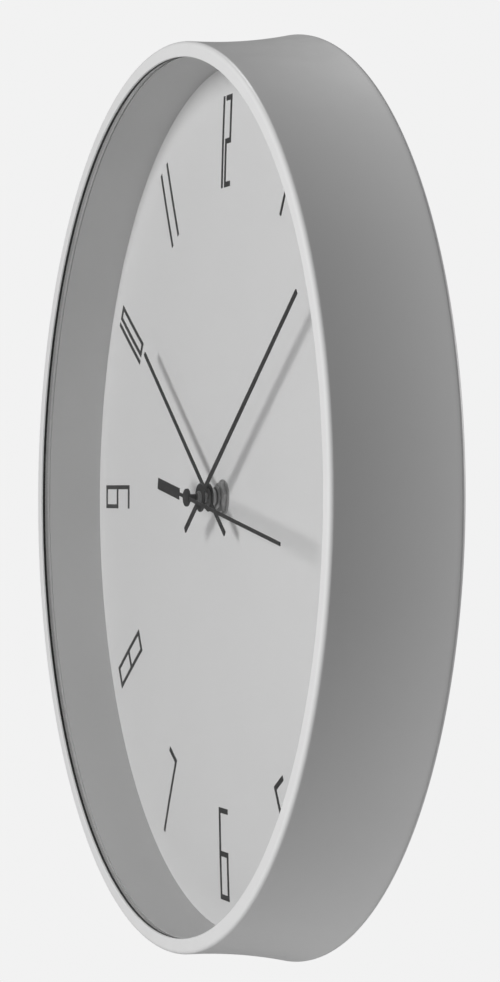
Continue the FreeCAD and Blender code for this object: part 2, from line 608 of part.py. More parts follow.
STEP_PHASE = meshed_phase(ROTOR_PLACE, ROTOR_TEETH, 0, STEP_PLACE, STEP_TEETH)
SECOND_PHASE = meshed_phase(STEP_PLACE, STEP_PINION, 0, AXIS, SECOND_TEETH)
THIRD_PHASE = meshed_phase(AXIS, SECOND_PINION, 0, THIRD_PLACE, THIRD_TEETH)
CENTRE_PHASE = meshed_phase(THIRD_PLACE, THIRD_PINION, 0, AXIS, CENTRE_TEETH)
MINUTE_PHASE = meshed_phase(AXIS, CANNON_TEETH, 0, MINUTE_WHEEL_PLACE, MINUTE_TEETH)
HOUR_PHASE = meshed_phase(MINUTE_WHEEL_PLACE, MINUTE_PINION, 0, AXIS, HOUR_TEETH)
SETTING_PHASE = meshed_phase(
    MINUTE_WHEEL_PLACE, MINUTE_TEETH, MINUTE_PHASE, SETTING_PLACE, SETTING_TEETH)


def pivoted_arbor(place, radius):
    """A thin arbor with a pivot at each end, running in the housing's two walls."""
    start, end = MOVEMENT_INNER_FRONT + ARBOR_END_PLAY, MOVEMENT_INNER_BACK - ARBOR_END_PLAY
    pivots = rod(PIVOT_RADIUS, start - PIVOT_LENGTH, end + PIVOT_LENGTH, *place)
    return fused([rod(radius, start, end, *place), pivots])


def rotor_magnet():
    magnet_end = MAGNET_DEPTH + MAGNET_THICK
    return tube(MAGNET_RADIUS, MAGNET_BORE_RADIUS, MAGNET_DEPTH, magnet_end, *ROTOR_PLACE)


def rotor_pinion():
    pinion = gear(ROTOR_PLACE, ROTOR_TEETH, STEP_TEETH, FINE_MODULE, 0, STEP_LAYER)
    hub_front = MAGNET_DEPTH - MAGNET_HUB_FRONT
    hub_back = MAGNET_DEPTH + MAGNET_THICK + MAGNET_HUB_BACK
    hub = rod(MAGNET_BORE_RADIUS, hub_front, hub_back, *ROTOR_PLACE)
    return fused([pivoted_arbor(ROTOR_PLACE, THICK_ARBOR), hub, pinion])


def step_wheel():
    wheel = gear(STEP_PLACE, STEP_TEETH, ROTOR_TEETH, FINE_MODULE, STEP_PHASE, STEP_LAYER)
    pinion = gear(STEP_PLACE, STEP_PINION, SECOND_TEETH, FINE_MODULE, 0, SECOND_LAYER, STEP_LAYER)
    return fused([pivoted_arbor(STEP_PLACE, THICK_ARBOR), wheel, pinion])


def second_wheel():
    wheel = gear(AXIS, SECOND_TEETH, STEP_PINION, FINE_MODULE, SECOND_PHASE, SECOND_LAYER)
    pinion = gear(AXIS, SECOND_PINION, THIRD_TEETH, FINE_MODULE, 0, THIRD_LAYER, SECOND_LAYER)
    boss = rod(SECOND_BOSS_RADIUS, SECOND_LAYER, SECOND_LAYER + WHEEL_THICK + SECOND_BOSS_REACH)
    return fused([wheel, pinion, boss]).cut(rod(ARBOR_RADIUS, THIRD_LAYER - 1, STEP_LAYER + 3))


def second_arbor():
    end = MOVEMENT_INNER_BACK - ARBOR_END_PLAY
    front = SECOND_DISC_DEPTH + CAP_WALL
    return fused([rod(ARBOR_RADIUS, front, end), rod(PIVOT_RADIUS, end, end + PIVOT_LENGTH)])


def third_wheel():
    wheel = gear(THIRD_PLACE, THIRD_TEETH, SECOND_PINION, FINE_MODULE, THIRD_PHASE, THIRD_LAYER)
    pinion = gear(THIRD_PLACE, THIRD_PINION, CENTRE_TEETH, CENTRE_MODULE, 0, CENTRE_LAYER, THIRD_LAYER)
    return fused([pivoted_arbor(THIRD_PLACE, THIN_ARBOR), wheel, pinion])


def centre_wheel():
    end = CENTRE_LAYER + WHEEL_THICK
    wheel = gear(AXIS, CENTRE_TEETH, THIRD_PINION, CENTRE_MODULE, CENTRE_PHASE, CENTRE_LAYER)
    return wheel.cut(rod(CANNON_TAIL_RADIUS + 0.01, CENTRE_LAYER - 1, end + 1))


def friction_spring():
    """A dished three-armed spring between the cannon pinion and the centre wheel."""
    bore, outer, sheet = CANNON_TAIL_RADIUS + 0.02, SPRING_RADIUS, SPRING_SHEET
    inner_front, outer_front = CANNON_SHOULDER + 0.01, CENTRE_LAYER - sheet - 0.04
    dish = turned([
        (bore, inner_front), (outer, outer_front),
        (outer, outer_front + sheet), (bore, inner_front + sheet),
    ])
    start, end, reach, collar = CANNON_SHOULDER - 1, CENTRE_LAYER + 1, outer + 1, SPRING_COLLAR
    wedge = prism([(1.9, -2.3), (reach, -reach), (reach, reach), (1.9, 2.3)], start, end)
    gap = wedge.common(tube(reach, collar, start, end))
    for i in range(3):
        dish = dish.cut(turned_about_axis(gap, 120 * i))
    return dish


def cannon_pinion():
    """The minute pipe with the motion work's driving pinion."""
    pinion = gear(AXIS, CANNON_TEETH, MINUTE_TEETH, MOTION_MODULE, 0, MOTION_LAYER)
    pipe = rod(MINUTE_PIPE_OUTER - 0.01, MINUTE_PIPE_FRONT, CANNON_SHOULDER)
    tail_end = CENTRE_LAYER + WHEEL_THICK + 0.5
    tail = rod(CANNON_TAIL_RADIUS, CANNON_SHOULDER, tail_end)
    bore = rod(ARBOR_RADIUS + RUNNING_FIT, MINUTE_PIPE_FRONT - 1, tail_end + 1)
    return fused([pinion, pipe, tail]).cut(bore)


def minute_wheel():
    top = MOTION_LAYER + WHEEL_THICK
    place = MINUTE_WHEEL_PLACE
    wheel = gear(place, MINUTE_TEETH, CANNON_TEETH, MOTION_MODULE, MINUTE_PHASE, MOTION_LAYER)
    pinion = gear(place, MINUTE_PINION, HOUR_TEETH, HOUR_MODULE, 0, HOUR_LAYER, MOTION_LAYER)
    return fused([wheel, pinion]).cut(rod(POST_RADIUS + RUNNING_FIT, HOUR_LAYER - 1, top + 1, *place))


def hour_wheel():
    end = HOUR_LAYER + WHEEL_THICK
    wheel = gear(AXIS, HOUR_TEETH, MINUTE_PINION, HOUR_MODULE, HOUR_PHASE, HOUR_LAYER)
    pipe = rod(HOUR_PIPE_OUTER, HOUR_PIPE_FRONT, end)
    bore = rod(MINUTE_PIPE_OUTER + RUNNING_FIT, HOUR_PIPE_FRONT - 1, end + 1)
    return fused([wheel, pipe]).cut(bore)


def setting_shaft():
    start, end = MOVEMENT_INNER_FRONT + ARBOR_END_PLAY, MOVEMENT_INNER_BACK - 2 * ARBOR_END_PLAY
    place = SETTING_PLACE
    return fused([
        gear(place, SETTING_TEETH, MINUTE_TEETH, MOTION_MODULE, SETTING_PHASE, MOTION_LAYER),
        rod(SETTING_ARBOR, start, end, *place),
        rod(SETTING_PIVOT_RADIUS, start - PIVOT_LENGTH, start, *place),
        rod(SETTING_NECK_RADIUS, end, MOVEMENT_BACK + KNOB_GAP, *place),
    ])


def setting_knob():
    """The thumb wheel on the back, with a fluted edge."""
    start = MOVEMENT_BACK + KNOB_GAP
    end = start + KNOB_THICK
    knob = rod(SETTING_KNOB_RADIUS, start, end, *SETTING_PLACE)
    for i in range(KNOB_FLUTES):
        groove = away(SETTING_PLACE, 360 * i / KNOB_FLUTES, SETTING_KNOB_RADIUS + FLUTE_RADIUS / 2)
        knob = knob.cut(rod(FLUTE_RADIUS, start - 1, end + 1, *groove))
    return knob.cut(rod(KNOB_HOLLOW_RADIUS, end - KNOB_HOLLOW, end + 1, *SETTING_PLACE))


# ---- movement housing ----

def bay_wall(start, end):
    half = MOVEMENT_HALF - MOVEMENT_WALL
    return slab(-half - 0.2, half + 0.2, BAY_WALL_LOW, BAY_WALL_HIGH, start, end)


def housing_ring(start, end):
    """The movement's side walls between two depths."""
    outer = rounded_block(MOVEMENT_HALF, MOVEMENT_CORNER, start, end)
    inner_half, inner_corner = MOVEMENT_HALF - MOVEMENT_WALL, MOVEMENT_CORNER - MOVEMENT_WALL
    return outer.cut(rounded_block(inner_half, inner_corner, start - 1, end + 1))


def movement_base():
    """The front half of the movement: dial-side wall, side walls, battery bay wall and posts."""
    floor_back = MOVEMENT_INNER_FRONT
    parts = [
        rounded_block(MOVEMENT_HALF, MOVEMENT_CORNER, MOVEMENT_FRONT, floor_back),
        housing_ring(floor_back, MOVEMENT_SPLIT),
        bay_wall(floor_back, MOVEMENT_SPLIT),
        rod(POST_RADIUS, floor_back, MOTION_LAYER + WHEEL_THICK + 0.3, *MINUTE_WHEEL_PLACE),
    ]
    for x in (FOOT_LEFT_X, FOOT_RIGHT_X):
        parts.append(rod(STATOR_FOOT_RADIUS, floor_back, STATOR_DEPTH, x, COIL_Z))
    for x, z in BOARD_POSTS:
        parts.append(rod(BOARD_POST_RADIUS, floor_back, BOARD_FRONT, x, z))
    base = fused(parts)
    socket_front = MOVEMENT_FRONT + SOCKET_FLOOR
    for place in (THIRD_PLACE, STEP_PLACE, ROTOR_PLACE):
        base = base.cut(rod(PIVOT_RADIUS + PIVOT_FIT, socket_front, floor_back + 1, *place))
    base = base.cut(rod(SETTING_PIVOT_RADIUS + PIVOT_FIT, socket_front, floor_back + 1, *SETTING_PLACE))
    for x in (FOOT_LEFT_X, FOOT_RIGHT_X):
        base = base.cut(rod(STATOR_HOLE_RADIUS, STATOR_DEPTH - 4, STATOR_DEPTH + 1, x, COIL_Z))
    base = base.cut(rod(BUSH_COLLAR_RADIUS, MOVEMENT_FRONT - 1, floor_back + 1))
    for x in STRIP_NOTCHES:
        left, right = x - STRIP_NOTCH_HALF, x + STRIP_NOTCH_HALF
        notch = slab(left, right, BAY_WALL_LOW - 0.5, BAY_WALL_HIGH + 0.5, floor_back, STRIP_NOTCH_BACK)
        base = base.cut(notch)
    return base


def movement_cover():
    """The back half of the movement, open over the battery bay."""
    back = rounded_block(MOVEMENT_HALF, MOVEMENT_CORNER, MOVEMENT_INNER_BACK, MOVEMENT_BACK)
    walls = [make(MOVEMENT_SPLIT, MOVEMENT_INNER_BACK) for make in (housing_ring, bay_wall)]
    cover = fused([back] + walls)
    half = MOVEMENT_HALF - MOVEMENT_WALL
    cover = cover.cut(slab(-half, half, -half, BAY_WALL_LOW, MOVEMENT_INNER_BACK - 1, MOVEMENT_BACK + 1))
    socket_back = MOVEMENT_BACK - SOCKET_FLOOR
    for place in (AXIS, THIRD_PLACE, STEP_PLACE, ROTOR_PLACE):
        cover = cover.cut(rod(PIVOT_RADIUS + PIVOT_FIT, MOVEMENT_INNER_BACK - 1, socket_back, *place))
    neck_hole = SETTING_NECK_RADIUS + RUNNING_FIT
    return cover.cut(rod(neck_hole, MOVEMENT_INNER_BACK - 1, MOVEMENT_BACK + 1, *SETTING_PLACE))


# ---- battery and contacts ----

def battery():
    """An AA cell lying across the movement, with its button towards +X."""
    can_start, can_end = BATTERY_NEGATIVE_X + BATTERY_END, BATTERY_POSITIVE_X - BATTERY_BUTTON
    return fused([
        cross_rod(BATTERY_RADIUS, can_start, can_end, BATTERY_DEPTH, BATTERY_Z),
        cross_rod(BATTERY_END_RADIUS, BATTERY_NEGATIVE_X, can_start, BATTERY_DEPTH, BATTERY_Z),
        cross_rod(BATTERY_BUTTON_RADIUS, can_end, BATTERY_POSITIVE_X, BATTERY_DEPTH, BATTERY_Z),
    ])


def positive_contact():
    """A flat plate at the cell's button with a strip along the bay to the circuit board."""
    sheet = CONTACT_SHEET
    wall = MOVEMENT_HALF - MOVEMENT_WALL
    low = MOVEMENT_INNER_FRONT + 0.02
    plate_x = BATTERY_POSITIVE_X + CONTACT_GAP
    plate_low = BATTERY_Z - CONTACT_HALF
    return fused([
        slab(plate_x, plate_x + sheet, plate_low, CONTACT_TOP, low, CONTACT_BACK),
        slab(plate_x, wall - CONTACT_GAP, plate_low, CONTACT_TOP, low, low + sheet),
        slab(STRIP_LEFT, plate_x + sheet, STRIP_LOW, STRIP_HIGH, low, low + sheet),
        slab(STRIP_LEFT, STRIP_RIGHT, CONTACT_TOP, TAB_HIGH, low, low + sheet),
        slab(STRIP_LEFT, STRIP_RIGHT, TAB_HIGH - sheet, TAB_HIGH, low, BOARD_FRONT - 0.02),
    ])


def negative_contact():
    """A bowed leaf at the cell's flat end with a tab to the circuit board."""
    sheet = CONTACT_SHEET
    wall_x = -(MOVEMENT_HALF - MOVEMENT_WALL) + CONTACT_GAP
    low = MOVEMENT_INNER_FRONT + 0.02
    crown_x = BATTERY_NEGATIVE_X - CONTACT_GAP - sheet
    foot_x = wall_x + sheet
    bow = [
        (foot_x, LEAF_FRONT), (crown_x, LEAF_CROWN_FRONT),
        (crown_x, LEAF_CROWN_BACK), (foot_x, LEAF_BACK),
        (foot_x + sheet, LEAF_BACK), (crown_x + sheet, LEAF_CROWN_BACK),
        (crown_x + sheet, LEAF_CROWN_FRONT), (foot_x + sheet, LEAF_FRONT),
    ]
    leaf_low, leaf_high = BATTERY_Z - LEAF_HALF_WIDTH, BATTERY_Z + LEAF_HALF_WIDTH
    points = [spot(x, depth, leaf_low) for x, depth in bow]
    across = FreeCAD.Vector(0, 0, leaf_high - leaf_low)
    leaf = Part.Face(Part.makePolygon(points + points[:1])).extrude(across)
    plate_low, plate_high = BATTERY_Z - CONTACT_HALF, BATTERY_Z + CONTACT_HALF
    tab_x = wall_x + NEGATIVE_TAB_WIDTH
    return fused([
        leaf,
        slab(wall_x, foot_x, plate_low, plate_high, low, CONTACT_BACK),
        slab(wall_x, foot_x + sheet, leaf_low, leaf_high, LEAF_FRONT - 0.4, LEAF_FRONT + 0.2),
        slab(wall_x, tab_x, NEGATIVE_TAB_LOW, TAB_HIGH, low, low + sheet),
        slab(wall_x, tab_x, TAB_HIGH - sheet, TAB_HIGH, low, BOARD_FRONT - 0.02),
    ])


# ---- circuit ----

def circuit_board():
    return slab(BOARD_LEFT, BOARD_RIGHT, BOARD_LOW, BOARD_HIGH, BOARD_FRONT, BOARD_BACK)


def controller_chip():
    """The drop of resin that seals the chip on the board."""
    drop = Part.makeSphere(CHIP_SPHERE, spot(CHIP_X, BOARD_BACK - CHIP_SUNK, CHIP_Z))
    above_board = slab(
        CHIP_X - CHIP_HALF, CHIP_X + CHIP_HALF, CHIP_Z - CHIP_HALF, CHIP_Z + CHIP_HALF,
        BOARD_BACK, BOARD_BACK + CHIP_SPHERE)
    return drop.common(above_board)


def quartz_crystal():
    """The crystal's round can, lying on the board."""
    x, low, upwards = CRYSTAL_X, CRYSTAL_LOW, FreeCAD.Vector(0, 0, 1)
    can_depth, leg_depth = BOARD_BACK + CRYSTAL_RADIUS, BOARD_BACK + CRYSTAL_LEG_RADIUS
    can = Part.makeCylinder(CRYSTAL_RADIUS, CRYSTAL_LENGTH, spot(x, can_depth, low), upwards)
    leg_low = low + 0.4 - CRYSTAL_LEG_LENGTH
    legs = [
        Part.makeCylinder(CRYSTAL_LEG_RADIUS, CRYSTAL_LEG_LENGTH, spot(leg_x, leg_depth, leg_low), upwards)
        for leg_x in (x - CRYSTAL_LEG_X, x + CRYSTAL_LEG_X)
    ]
    foot = slab(x - 0.6, x + 0.6, low - 0.2, low + 0.3, BOARD_BACK, can_depth)
    return fused([can, foot] + legs)


def coil_block(x_low, x_high, half_height, half_depth):
    """A block on the coil's own axis."""
    return slab(
        x_low, x_high, COIL_Z - half_height, COIL_Z + half_height,
        COIL_DEPTH - half_depth, COIL_DEPTH + half_depth)


def coil_bobbin():
    ends = [
        coil_block(x, x + BOBBIN_FLANGE_THICK, BOBBIN_FLANGE, BOBBIN_FLANGE)
        for x in (COIL_LEFT, COIL_RIGHT - BOBBIN_FLANGE_THICK)
    ]
    core = coil_block(COIL_LEFT, COIL_RIGHT, BOBBIN_HALF_HEIGHT, BOBBIN_HALF_DEPTH)
    bore = coil_block(COIL_LEFT - 1, COIL_RIGHT + 1, CORE_HALF_HEIGHT + 0.02, CORE_THICK / 2 + 0.02)
    return fused(ends + [core]).cut(bore)


def coil_winding():
    """The copper winding, wound round the bobbin's flat tube."""
    start, end = COIL_LEFT + BOBBIN_FLANGE_THICK + 0.02, COIL_RIGHT - BOBBIN_FLANGE_THICK - 0.02
    winding = cross_rod(COIL_RADIUS, start, end, COIL_DEPTH, COIL_Z)
    half_height, half_depth = BOBBIN_HALF_HEIGHT + 0.02, BOBBIN_HALF_DEPTH + 0.02
    return winding.cut(coil_block(start - 1, end + 1, half_height, half_depth))


def coil_core():
    start = STATOR_DEPTH + STATOR_THICK
    core = coil_block(FOOT_LEFT_X - 2.5, FOOT_RIGHT_X + 2.5, CORE_HALF_HEIGHT, CORE_THICK / 2)
    for x in (FOOT_LEFT_X, FOOT_RIGHT_X):
        core = core.cut(rod(STATOR_HOLE_RADIUS, start - 1, start + 2, x, COIL_Z))
    return core


def stator():
    """The motor's flat pole piece, with a foot at each end of the coil core and a hole for the rotor."""
    outline = [
        (-5.5, 25.0), (-5.5, 16.0), (4.6, 11.2), (5.7, 7.6), (6.6, 5.4), (8.6, 4.4), (11.6, 4.4),
        (14.6, 6.4), (25.5, 16.0), (25.5, 25.0), (20.5, 25.0), (20.5, 17.0), (15.5, 14.2),
        (10.0, 15.0), (4.5, 14.6), (-0.5, 17.0), (-0.5, 25.0),
    ]
    end = STATOR_DEPTH + STATOR_THICK
    plate = prism(outline, STATOR_DEPTH, end)
    plate = plate.cut(rod(STATOR_HOLE, STATOR_DEPTH - 1, end + 1, *ROTOR_PLACE))
    for x in (FOOT_LEFT_X, FOOT_RIGHT_X):
        plate = plate.cut(rod(STATOR_HOLE_RADIUS, STATOR_DEPTH - 1, end + 1, x, COIL_Z))
    return plate


def stator_screws():
    start = STATOR_DEPTH + STATOR_THICK + CORE_THICK
    screws = []
    for x in (FOOT_LEFT_X, FOOT_RIGHT_X):
        slot = slab(x - 2, x + 2, COIL_Z - 0.2, COIL_Z + 0.2, start + 0.5, start + 2)
        head = rod(STATOR_SCREW_HEAD, start, start + STATOR_HEAD_THICK, x, COIL_Z).cut(slot)
        shank = rod(STATOR_SCREW_RADIUS, start - STATOR_SCREW_LENGTH, start, x, COIL_Z)
        screws.append(fused([head, shank]))
    return Part.makeCompound(screws)


def coil_leads():
    """The winding's two fine ends, from the bobbin to the circuit board."""
    leads = []
    for x_end, z in LEAD_ENDS:
        run = cross_rod(LEAD_RADIUS, x_end, COIL_LEFT, LEAD_DEPTH, z)
        drop = rod(LEAD_RADIUS, BOARD_BACK, LEAD_DEPTH, x_end, z)
        leads.append(fused([run, drop, Part.makeSphere(LEAD_RADIUS, spot(x_end, LEAD_DEPTH, z))]))
    return Part.makeCompound(leads)


# ---- rear cover and hanger ----

def keyhole(start, end):
    """The hanger's entry hole with the slot that drops over the wall screw."""
    half_slot, slot_top = KEYHOLE_SLOT / 2, HANGER_ABOVE_AXIS + KEYHOLE_RISE
    return fused([
        slab(-half_slot, half_slot, HANGER_ABOVE_AXIS, slot_top, start, end),
        rod(half_slot, start, end, 0, slot_top),
        rod(KEYHOLE_RADIUS, start, end, 0, HANGER_ABOVE_AXIS),
    ])


def cross_slot(x, z, half_length, half_width, start):
    """What a crosshead driver's tip takes out of a screw head."""
    end = start + 2
    return fused([
        slab(x - half_length, x + half_length, z - half_width, z + half_width, start, end),
        slab(x - half_width, x + half_width, z - half_length, z + half_length, start, end),
    ])


def hanger_plate():
    start = COVER_BACK - HANGER_THICK
    plate = slab(-HANGER_HALF_X, HANGER_HALF_X, HANGER_LOW, HANGER_HIGH, start, COVER_BACK)
    upright = [e for e in plate.Edges if abs(e.tangentAt(e.FirstParameter).y) > 0.99]
    plate = plate.makeFillet(HANGER_CORNER, upright).cut(keyhole(start - 1, COVER_BACK + 1))
    for x in (-HANGER_SCREW_X, HANGER_SCREW_X):
        plate = plate.cut(rod(HANGER_SCREW_RADIUS + 0.3, start - 1, COVER_BACK + 1, x, HANGER_ABOVE_AXIS))
    return plate


def hanger_screws():
    screws = []
    for x in (-HANGER_SCREW_X, HANGER_SCREW_X):
        head_end, tip = COVER_BACK + HANGER_HEAD_THICK, COVER_BACK - HANGER_SCREW_LENGTH
        head = rod(2 * HANGER_SCREW_RADIUS, COVER_BACK, head_end, x, HANGER_ABOVE_AXIS)
        shank = rod(HANGER_SCREW_RADIUS, tip, COVER_BACK, x, HANGER_ABOVE_AXIS)
        cross = cross_slot(x, HANGER_ABOVE_AXIS, 1.5, 0.3, COVER_BACK + 0.3)
        screws.append(fused([head.cut(cross), shank]))
    return Part.makeCompound(screws)


def rear_cover():
    """The moulded back: a disc with a window for the movement, a hanger box and walls behind the dial."""
    edge, rebate_gap = COVER_EDGE, HANGER_REBATE_GAP
    box_half, box_low, box_high = HANGER_HALF_X + 1, HANGER_LOW - 1, HANGER_HIGH + 1
    wall_front = dial_depth(DIAL_WALL_OUTER) + DIAL_THICK + DIAL_WALL_GAP
    cover = fused([
        turned([
            (0, COVER_DEPTH), (COVER_RADIUS, COVER_DEPTH), (COVER_RADIUS, COVER_BACK - edge),
            (COVER_RADIUS - edge, COVER_BACK), (0, COVER_BACK),
        ]),
        tube(DIAL_WALL_OUTER, DIAL_WALL_INNER, wall_front, COVER_DEPTH),
        slab(-box_half, box_half, box_low, box_high, HANGER_BOX_FRONT, COVER_DEPTH),
        rounded_block(
            WINDOW_HALF + WINDOW_WALL, WINDOW_CORNER + WINDOW_WALL, WINDOW_WALL_FRONT, COVER_DEPTH),
    ])
    cuts = [
        rounded_block(WINDOW_HALF, WINDOW_CORNER, WINDOW_WALL_FRONT - 1, COVER_BACK + 1),
        slab(
            -HANGER_POCKET_HALF, HANGER_POCKET_HALF, box_low + 2, box_high - 2,
            HANGER_POCKET_FRONT, COVER_BACK + 1),
        slab(
            -HANGER_HALF_X - rebate_gap, HANGER_HALF_X + rebate_gap,
            HANGER_LOW - rebate_gap, HANGER_HIGH + rebate_gap, COVER_BACK - HANGER_THICK, COVER_BACK + 1),
    ]
    bore_front = COVER_BACK - HANGER_SCREW_LENGTH - 1
    for x in (-HANGER_SCREW_X, HANGER_SCREW_X):
        cuts.append(rod(HANGER_SCREW_RADIUS + 0.02, bore_front, COVER_BACK + 1, x, HANGER_ABOVE_AXIS))
    for radius in COVER_GROOVES:
        cuts.append(tube(radius + GROOVE_WIDTH, radius, COVER_BACK - GROOVE_DEPTH, COVER_BACK + 1))
    for x, z in cover_screw_places():
        cuts.append(rod(COVER_SCREW_HOLE, COVER_DEPTH - 1, COVER_BACK + 1, x, z))
        cuts.append(rod(COVER_SCREW_RECESS, COVER_BACK - COVER_SCREW_SEAT, COVER_BACK + 1, x, z))
    for cut in cuts:
        cover = cover.cut(cut)
    return cover


def cover_screws():
    """Pan-head screws that hold the rear cover to the case."""
    seat = COVER_BACK - COVER_SCREW_SEAT
    screws = []
    for x, z in cover_screw_places():
        head = rod(COVER_SCREW_HEAD, seat, seat + COVER_HEAD_THICK, x, z)
        shank = rod(BOSS_BORE_RADIUS - 0.02, seat - COVER_SCREW_LENGTH, seat, x, z)
        screws.append(fused([head.cut(cross_slot(x, z, 1.6, 0.35, seat + 0.6)), shank]))
    return Part.makeCompound(screws)


NODES = [
    case_shell, lens_seal, lens, inner_ring, dial_plate, dial_numerals,
    rear_cover, cover_screws, hanger_plate, hanger_screws,
    second_hand, second_hand_hub, minute_hand, minute_hand_bush, hour_hand, hour_hand_bush,
    threaded_bush, hex_nut, brass_washer, rubber_washer,
    movement_base, movement_cover, battery, positive_contact, negative_contact,
    circuit_board, controller_chip, quartz_crystal,
    coil_bobbin, coil_winding, coil_core, coil_leads, stator, stator_screws,
    rotor_magnet, rotor_pinion, step_wheel, second_wheel, second_arbor, third_wheel,
    centre_wheel, friction_spring, cannon_pinion, minute_wheel, hour_wheel,
    setting_shaft, setting_knob,
]


def main():
    os.makedirs("parts", exist_ok=True)
    for make in NODES:
        shape = make()
        shape.translate(FreeCAD.Vector(0, 0, -HANGER_ABOVE_AXIS))
        shape.exportStep(os.path.join("parts", make.__name__ + ".step"))
        print(make.__name__, len(shape.Solids), round(shape.Volume, 2), shape.isValid())


main()
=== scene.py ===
import json
import math

import bmesh
import bpy
from mathutils import Matrix, Vector

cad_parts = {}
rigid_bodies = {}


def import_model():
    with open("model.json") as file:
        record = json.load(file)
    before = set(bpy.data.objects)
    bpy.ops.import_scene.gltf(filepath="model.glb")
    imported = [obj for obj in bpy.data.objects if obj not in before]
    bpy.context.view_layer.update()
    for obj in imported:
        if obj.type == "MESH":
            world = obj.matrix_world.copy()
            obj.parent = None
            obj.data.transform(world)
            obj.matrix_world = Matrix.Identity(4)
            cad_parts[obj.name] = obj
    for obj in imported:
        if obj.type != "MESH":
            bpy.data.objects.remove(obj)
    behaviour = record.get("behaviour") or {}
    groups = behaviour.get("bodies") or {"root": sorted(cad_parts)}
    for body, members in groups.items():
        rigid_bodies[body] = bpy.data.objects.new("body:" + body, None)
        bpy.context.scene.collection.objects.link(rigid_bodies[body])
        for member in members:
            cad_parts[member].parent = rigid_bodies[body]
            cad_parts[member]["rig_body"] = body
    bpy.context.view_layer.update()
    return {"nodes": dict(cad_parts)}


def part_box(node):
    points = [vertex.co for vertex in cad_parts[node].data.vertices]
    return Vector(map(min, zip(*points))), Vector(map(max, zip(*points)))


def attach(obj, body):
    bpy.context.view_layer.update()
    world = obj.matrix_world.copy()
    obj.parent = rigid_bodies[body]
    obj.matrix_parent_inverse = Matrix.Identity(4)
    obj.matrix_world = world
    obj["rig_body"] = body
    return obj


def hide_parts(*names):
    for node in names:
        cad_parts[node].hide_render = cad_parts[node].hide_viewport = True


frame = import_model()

# Looks of a round quartz wall clock with a deep flared case. Sizes are in millimetres and are turned
# into metres by at(), apart from the stage and the lamps, which are in metres. Angles that are named here
# are in degrees. "Depth" is counted from the front plane of the rim towards the wall, and x and z
# from the hand axis.

MM = 0.001
SAME_PLACE = 1e-7
LARGE_STEPS, SMALL_STEPS = 384, 96

CASE_LOW, CASE_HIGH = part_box("case_shell")
FRONT_Y = CASE_LOW.y
AXIS_Z = (CASE_LOW.z + CASE_HIGH.z) / 2

# ---- sizes that the CAD nodes' boxes don't give ----
RIM_RADIUS = 150.0
RIM_ROUND = 1.6
BACK_ROUND = 1.6
OPENING_RADIUS = 144.9
GLASS_POCKET_RADIUS = 145.8
RING_FRONT_RADIUS, RING_TAPER = 145.3, 6.0
POCKET_RADIUS = 147.5
REAR_INNER_RADIUS = 149.5
REAR_STEP_DEPTH = 25.4
BOSS_RADIUS = 5.2
BOSS_BORE = 1.25
BOSS_BORE_LENGTH = 9.0
BOSS_ROOT = 0.5
COVER_THICK = 2.4
COVER_SCREWS = 6
COVER_SCREW_RADIUS = 144.5

DIAL_RISE = 1.8
DIAL_CROWN_POWER = 4
DIAL_HOLE_RADIUS = 4.15
DIAL_THICK = 0.8

HOUR_TURN, MINUTE_TURN, SECOND_TURN = 306.4, 54.5, 99.0
MINUTE_TIP, MINUTE_TAIL, MINUTE_DISC = 108.8, 19.1, 4.8
MINUTE_WIDTH_HUB, MINUTE_WIDTH_TIP = 2.1, 1.8
HOUR_TIP, HOUR_TAIL, HOUR_DISC = 86.0, 20.1, 4.7
HOUR_WIDTH_HUB, HOUR_WIDTH_TIP = 1.8, 1.5
SECOND_TIP, SECOND_TAIL, SECOND_NECK = 89.2, 30.5, 7.7
NEEDLE_WIDTH, PADDLE_WIDTH, SECOND_DISC = 1.3, 3.9, 3.0
SECOND_TUBE, ARBOR = 1.2, 0.5
MINUTE_PIPE, MINUTE_RIVET, MINUTE_COLLAR = 1.74, 2.2, 2.5
HOUR_PIPE, HOUR_RIVET, HOUR_COLLAR = 2.75, 3.1, 3.3
HAND_EDGE, SECOND_HAND_EDGE = 0.1, 0.07
CAP_THICK, CAP_FRONT, CAP_PLAY = 0.9, 0.5, 0.01

BUSH_BORE = HOUR_PIPE + 0.08
BUSH_RADIUS = 4.0
BUSH_COLLAR_RADIUS = 5.5
THREAD_PITCH = 0.75
THREAD_DEPTH = 0.4
THREAD_LEAD_IN, THREAD_RUN_OUT, THREAD_FADE = 0.15, 0.2, 0.5
THREAD_FLANK = 2.2
NUT_ACROSS_CORNERS = 11.4
NUT_TURN = 10.0
NUT_CONE_STEP, NUT_CONE_ANGLE, NUT_COUNTERSINK = 0.35, 30.0, 0.25
NUT_PLAY, WASHER_PLAY = 0.03, 0.1

BATTERY_POLE, BATTERY_BUTTON = 4.6, 2.7
BATTERY_POLE_RISE, BATTERY_BUTTON_RISE = 0.3, 1.2
BATTERY_LIP, BATTERY_LIP_FOOT, BATTERY_LIP_HEIGHT = 1.4, 1.5, 0.12
WIRE_PITCH, WIRE_DEPTH, COIL_BORE = 0.3, 0.1, 2.45
KNOB_FLUTES, FLUTE_DEPTH, FLUTE_HALF_ANGLE = 24, 0.3, 4.6
KNOB_HOLLOW, KNOB_HOLLOW_DEPTH, KNOB_EDGE, KNOB_MOUTH = 4.2, 0.7, 0.25, 0.12

FLAT_BELOW, SHARP_ABOVE = 0.5, 40.0
SOFT_EDGES = {
    "rear_cover": 0.3, "hanger_plate": 0.12, "cover_screws": 0.1, "hanger_screws": 0.1,
    "movement_base": 0.2, "movement_cover": 0.2, "coil_bobbin": 0.08, "circuit_board": 0.05,
}

# ---- the camera, the stage, and the lamps by name, direction, distance, size and power ----
CAMERA_PLACE = (924.2, -307.9, 1.6)
CAMERA_YAW, CAMERA_PITCH, CAMERA_ROLL = 69.859, -0.039, 0.213
CAMERA_LENS = 107.6

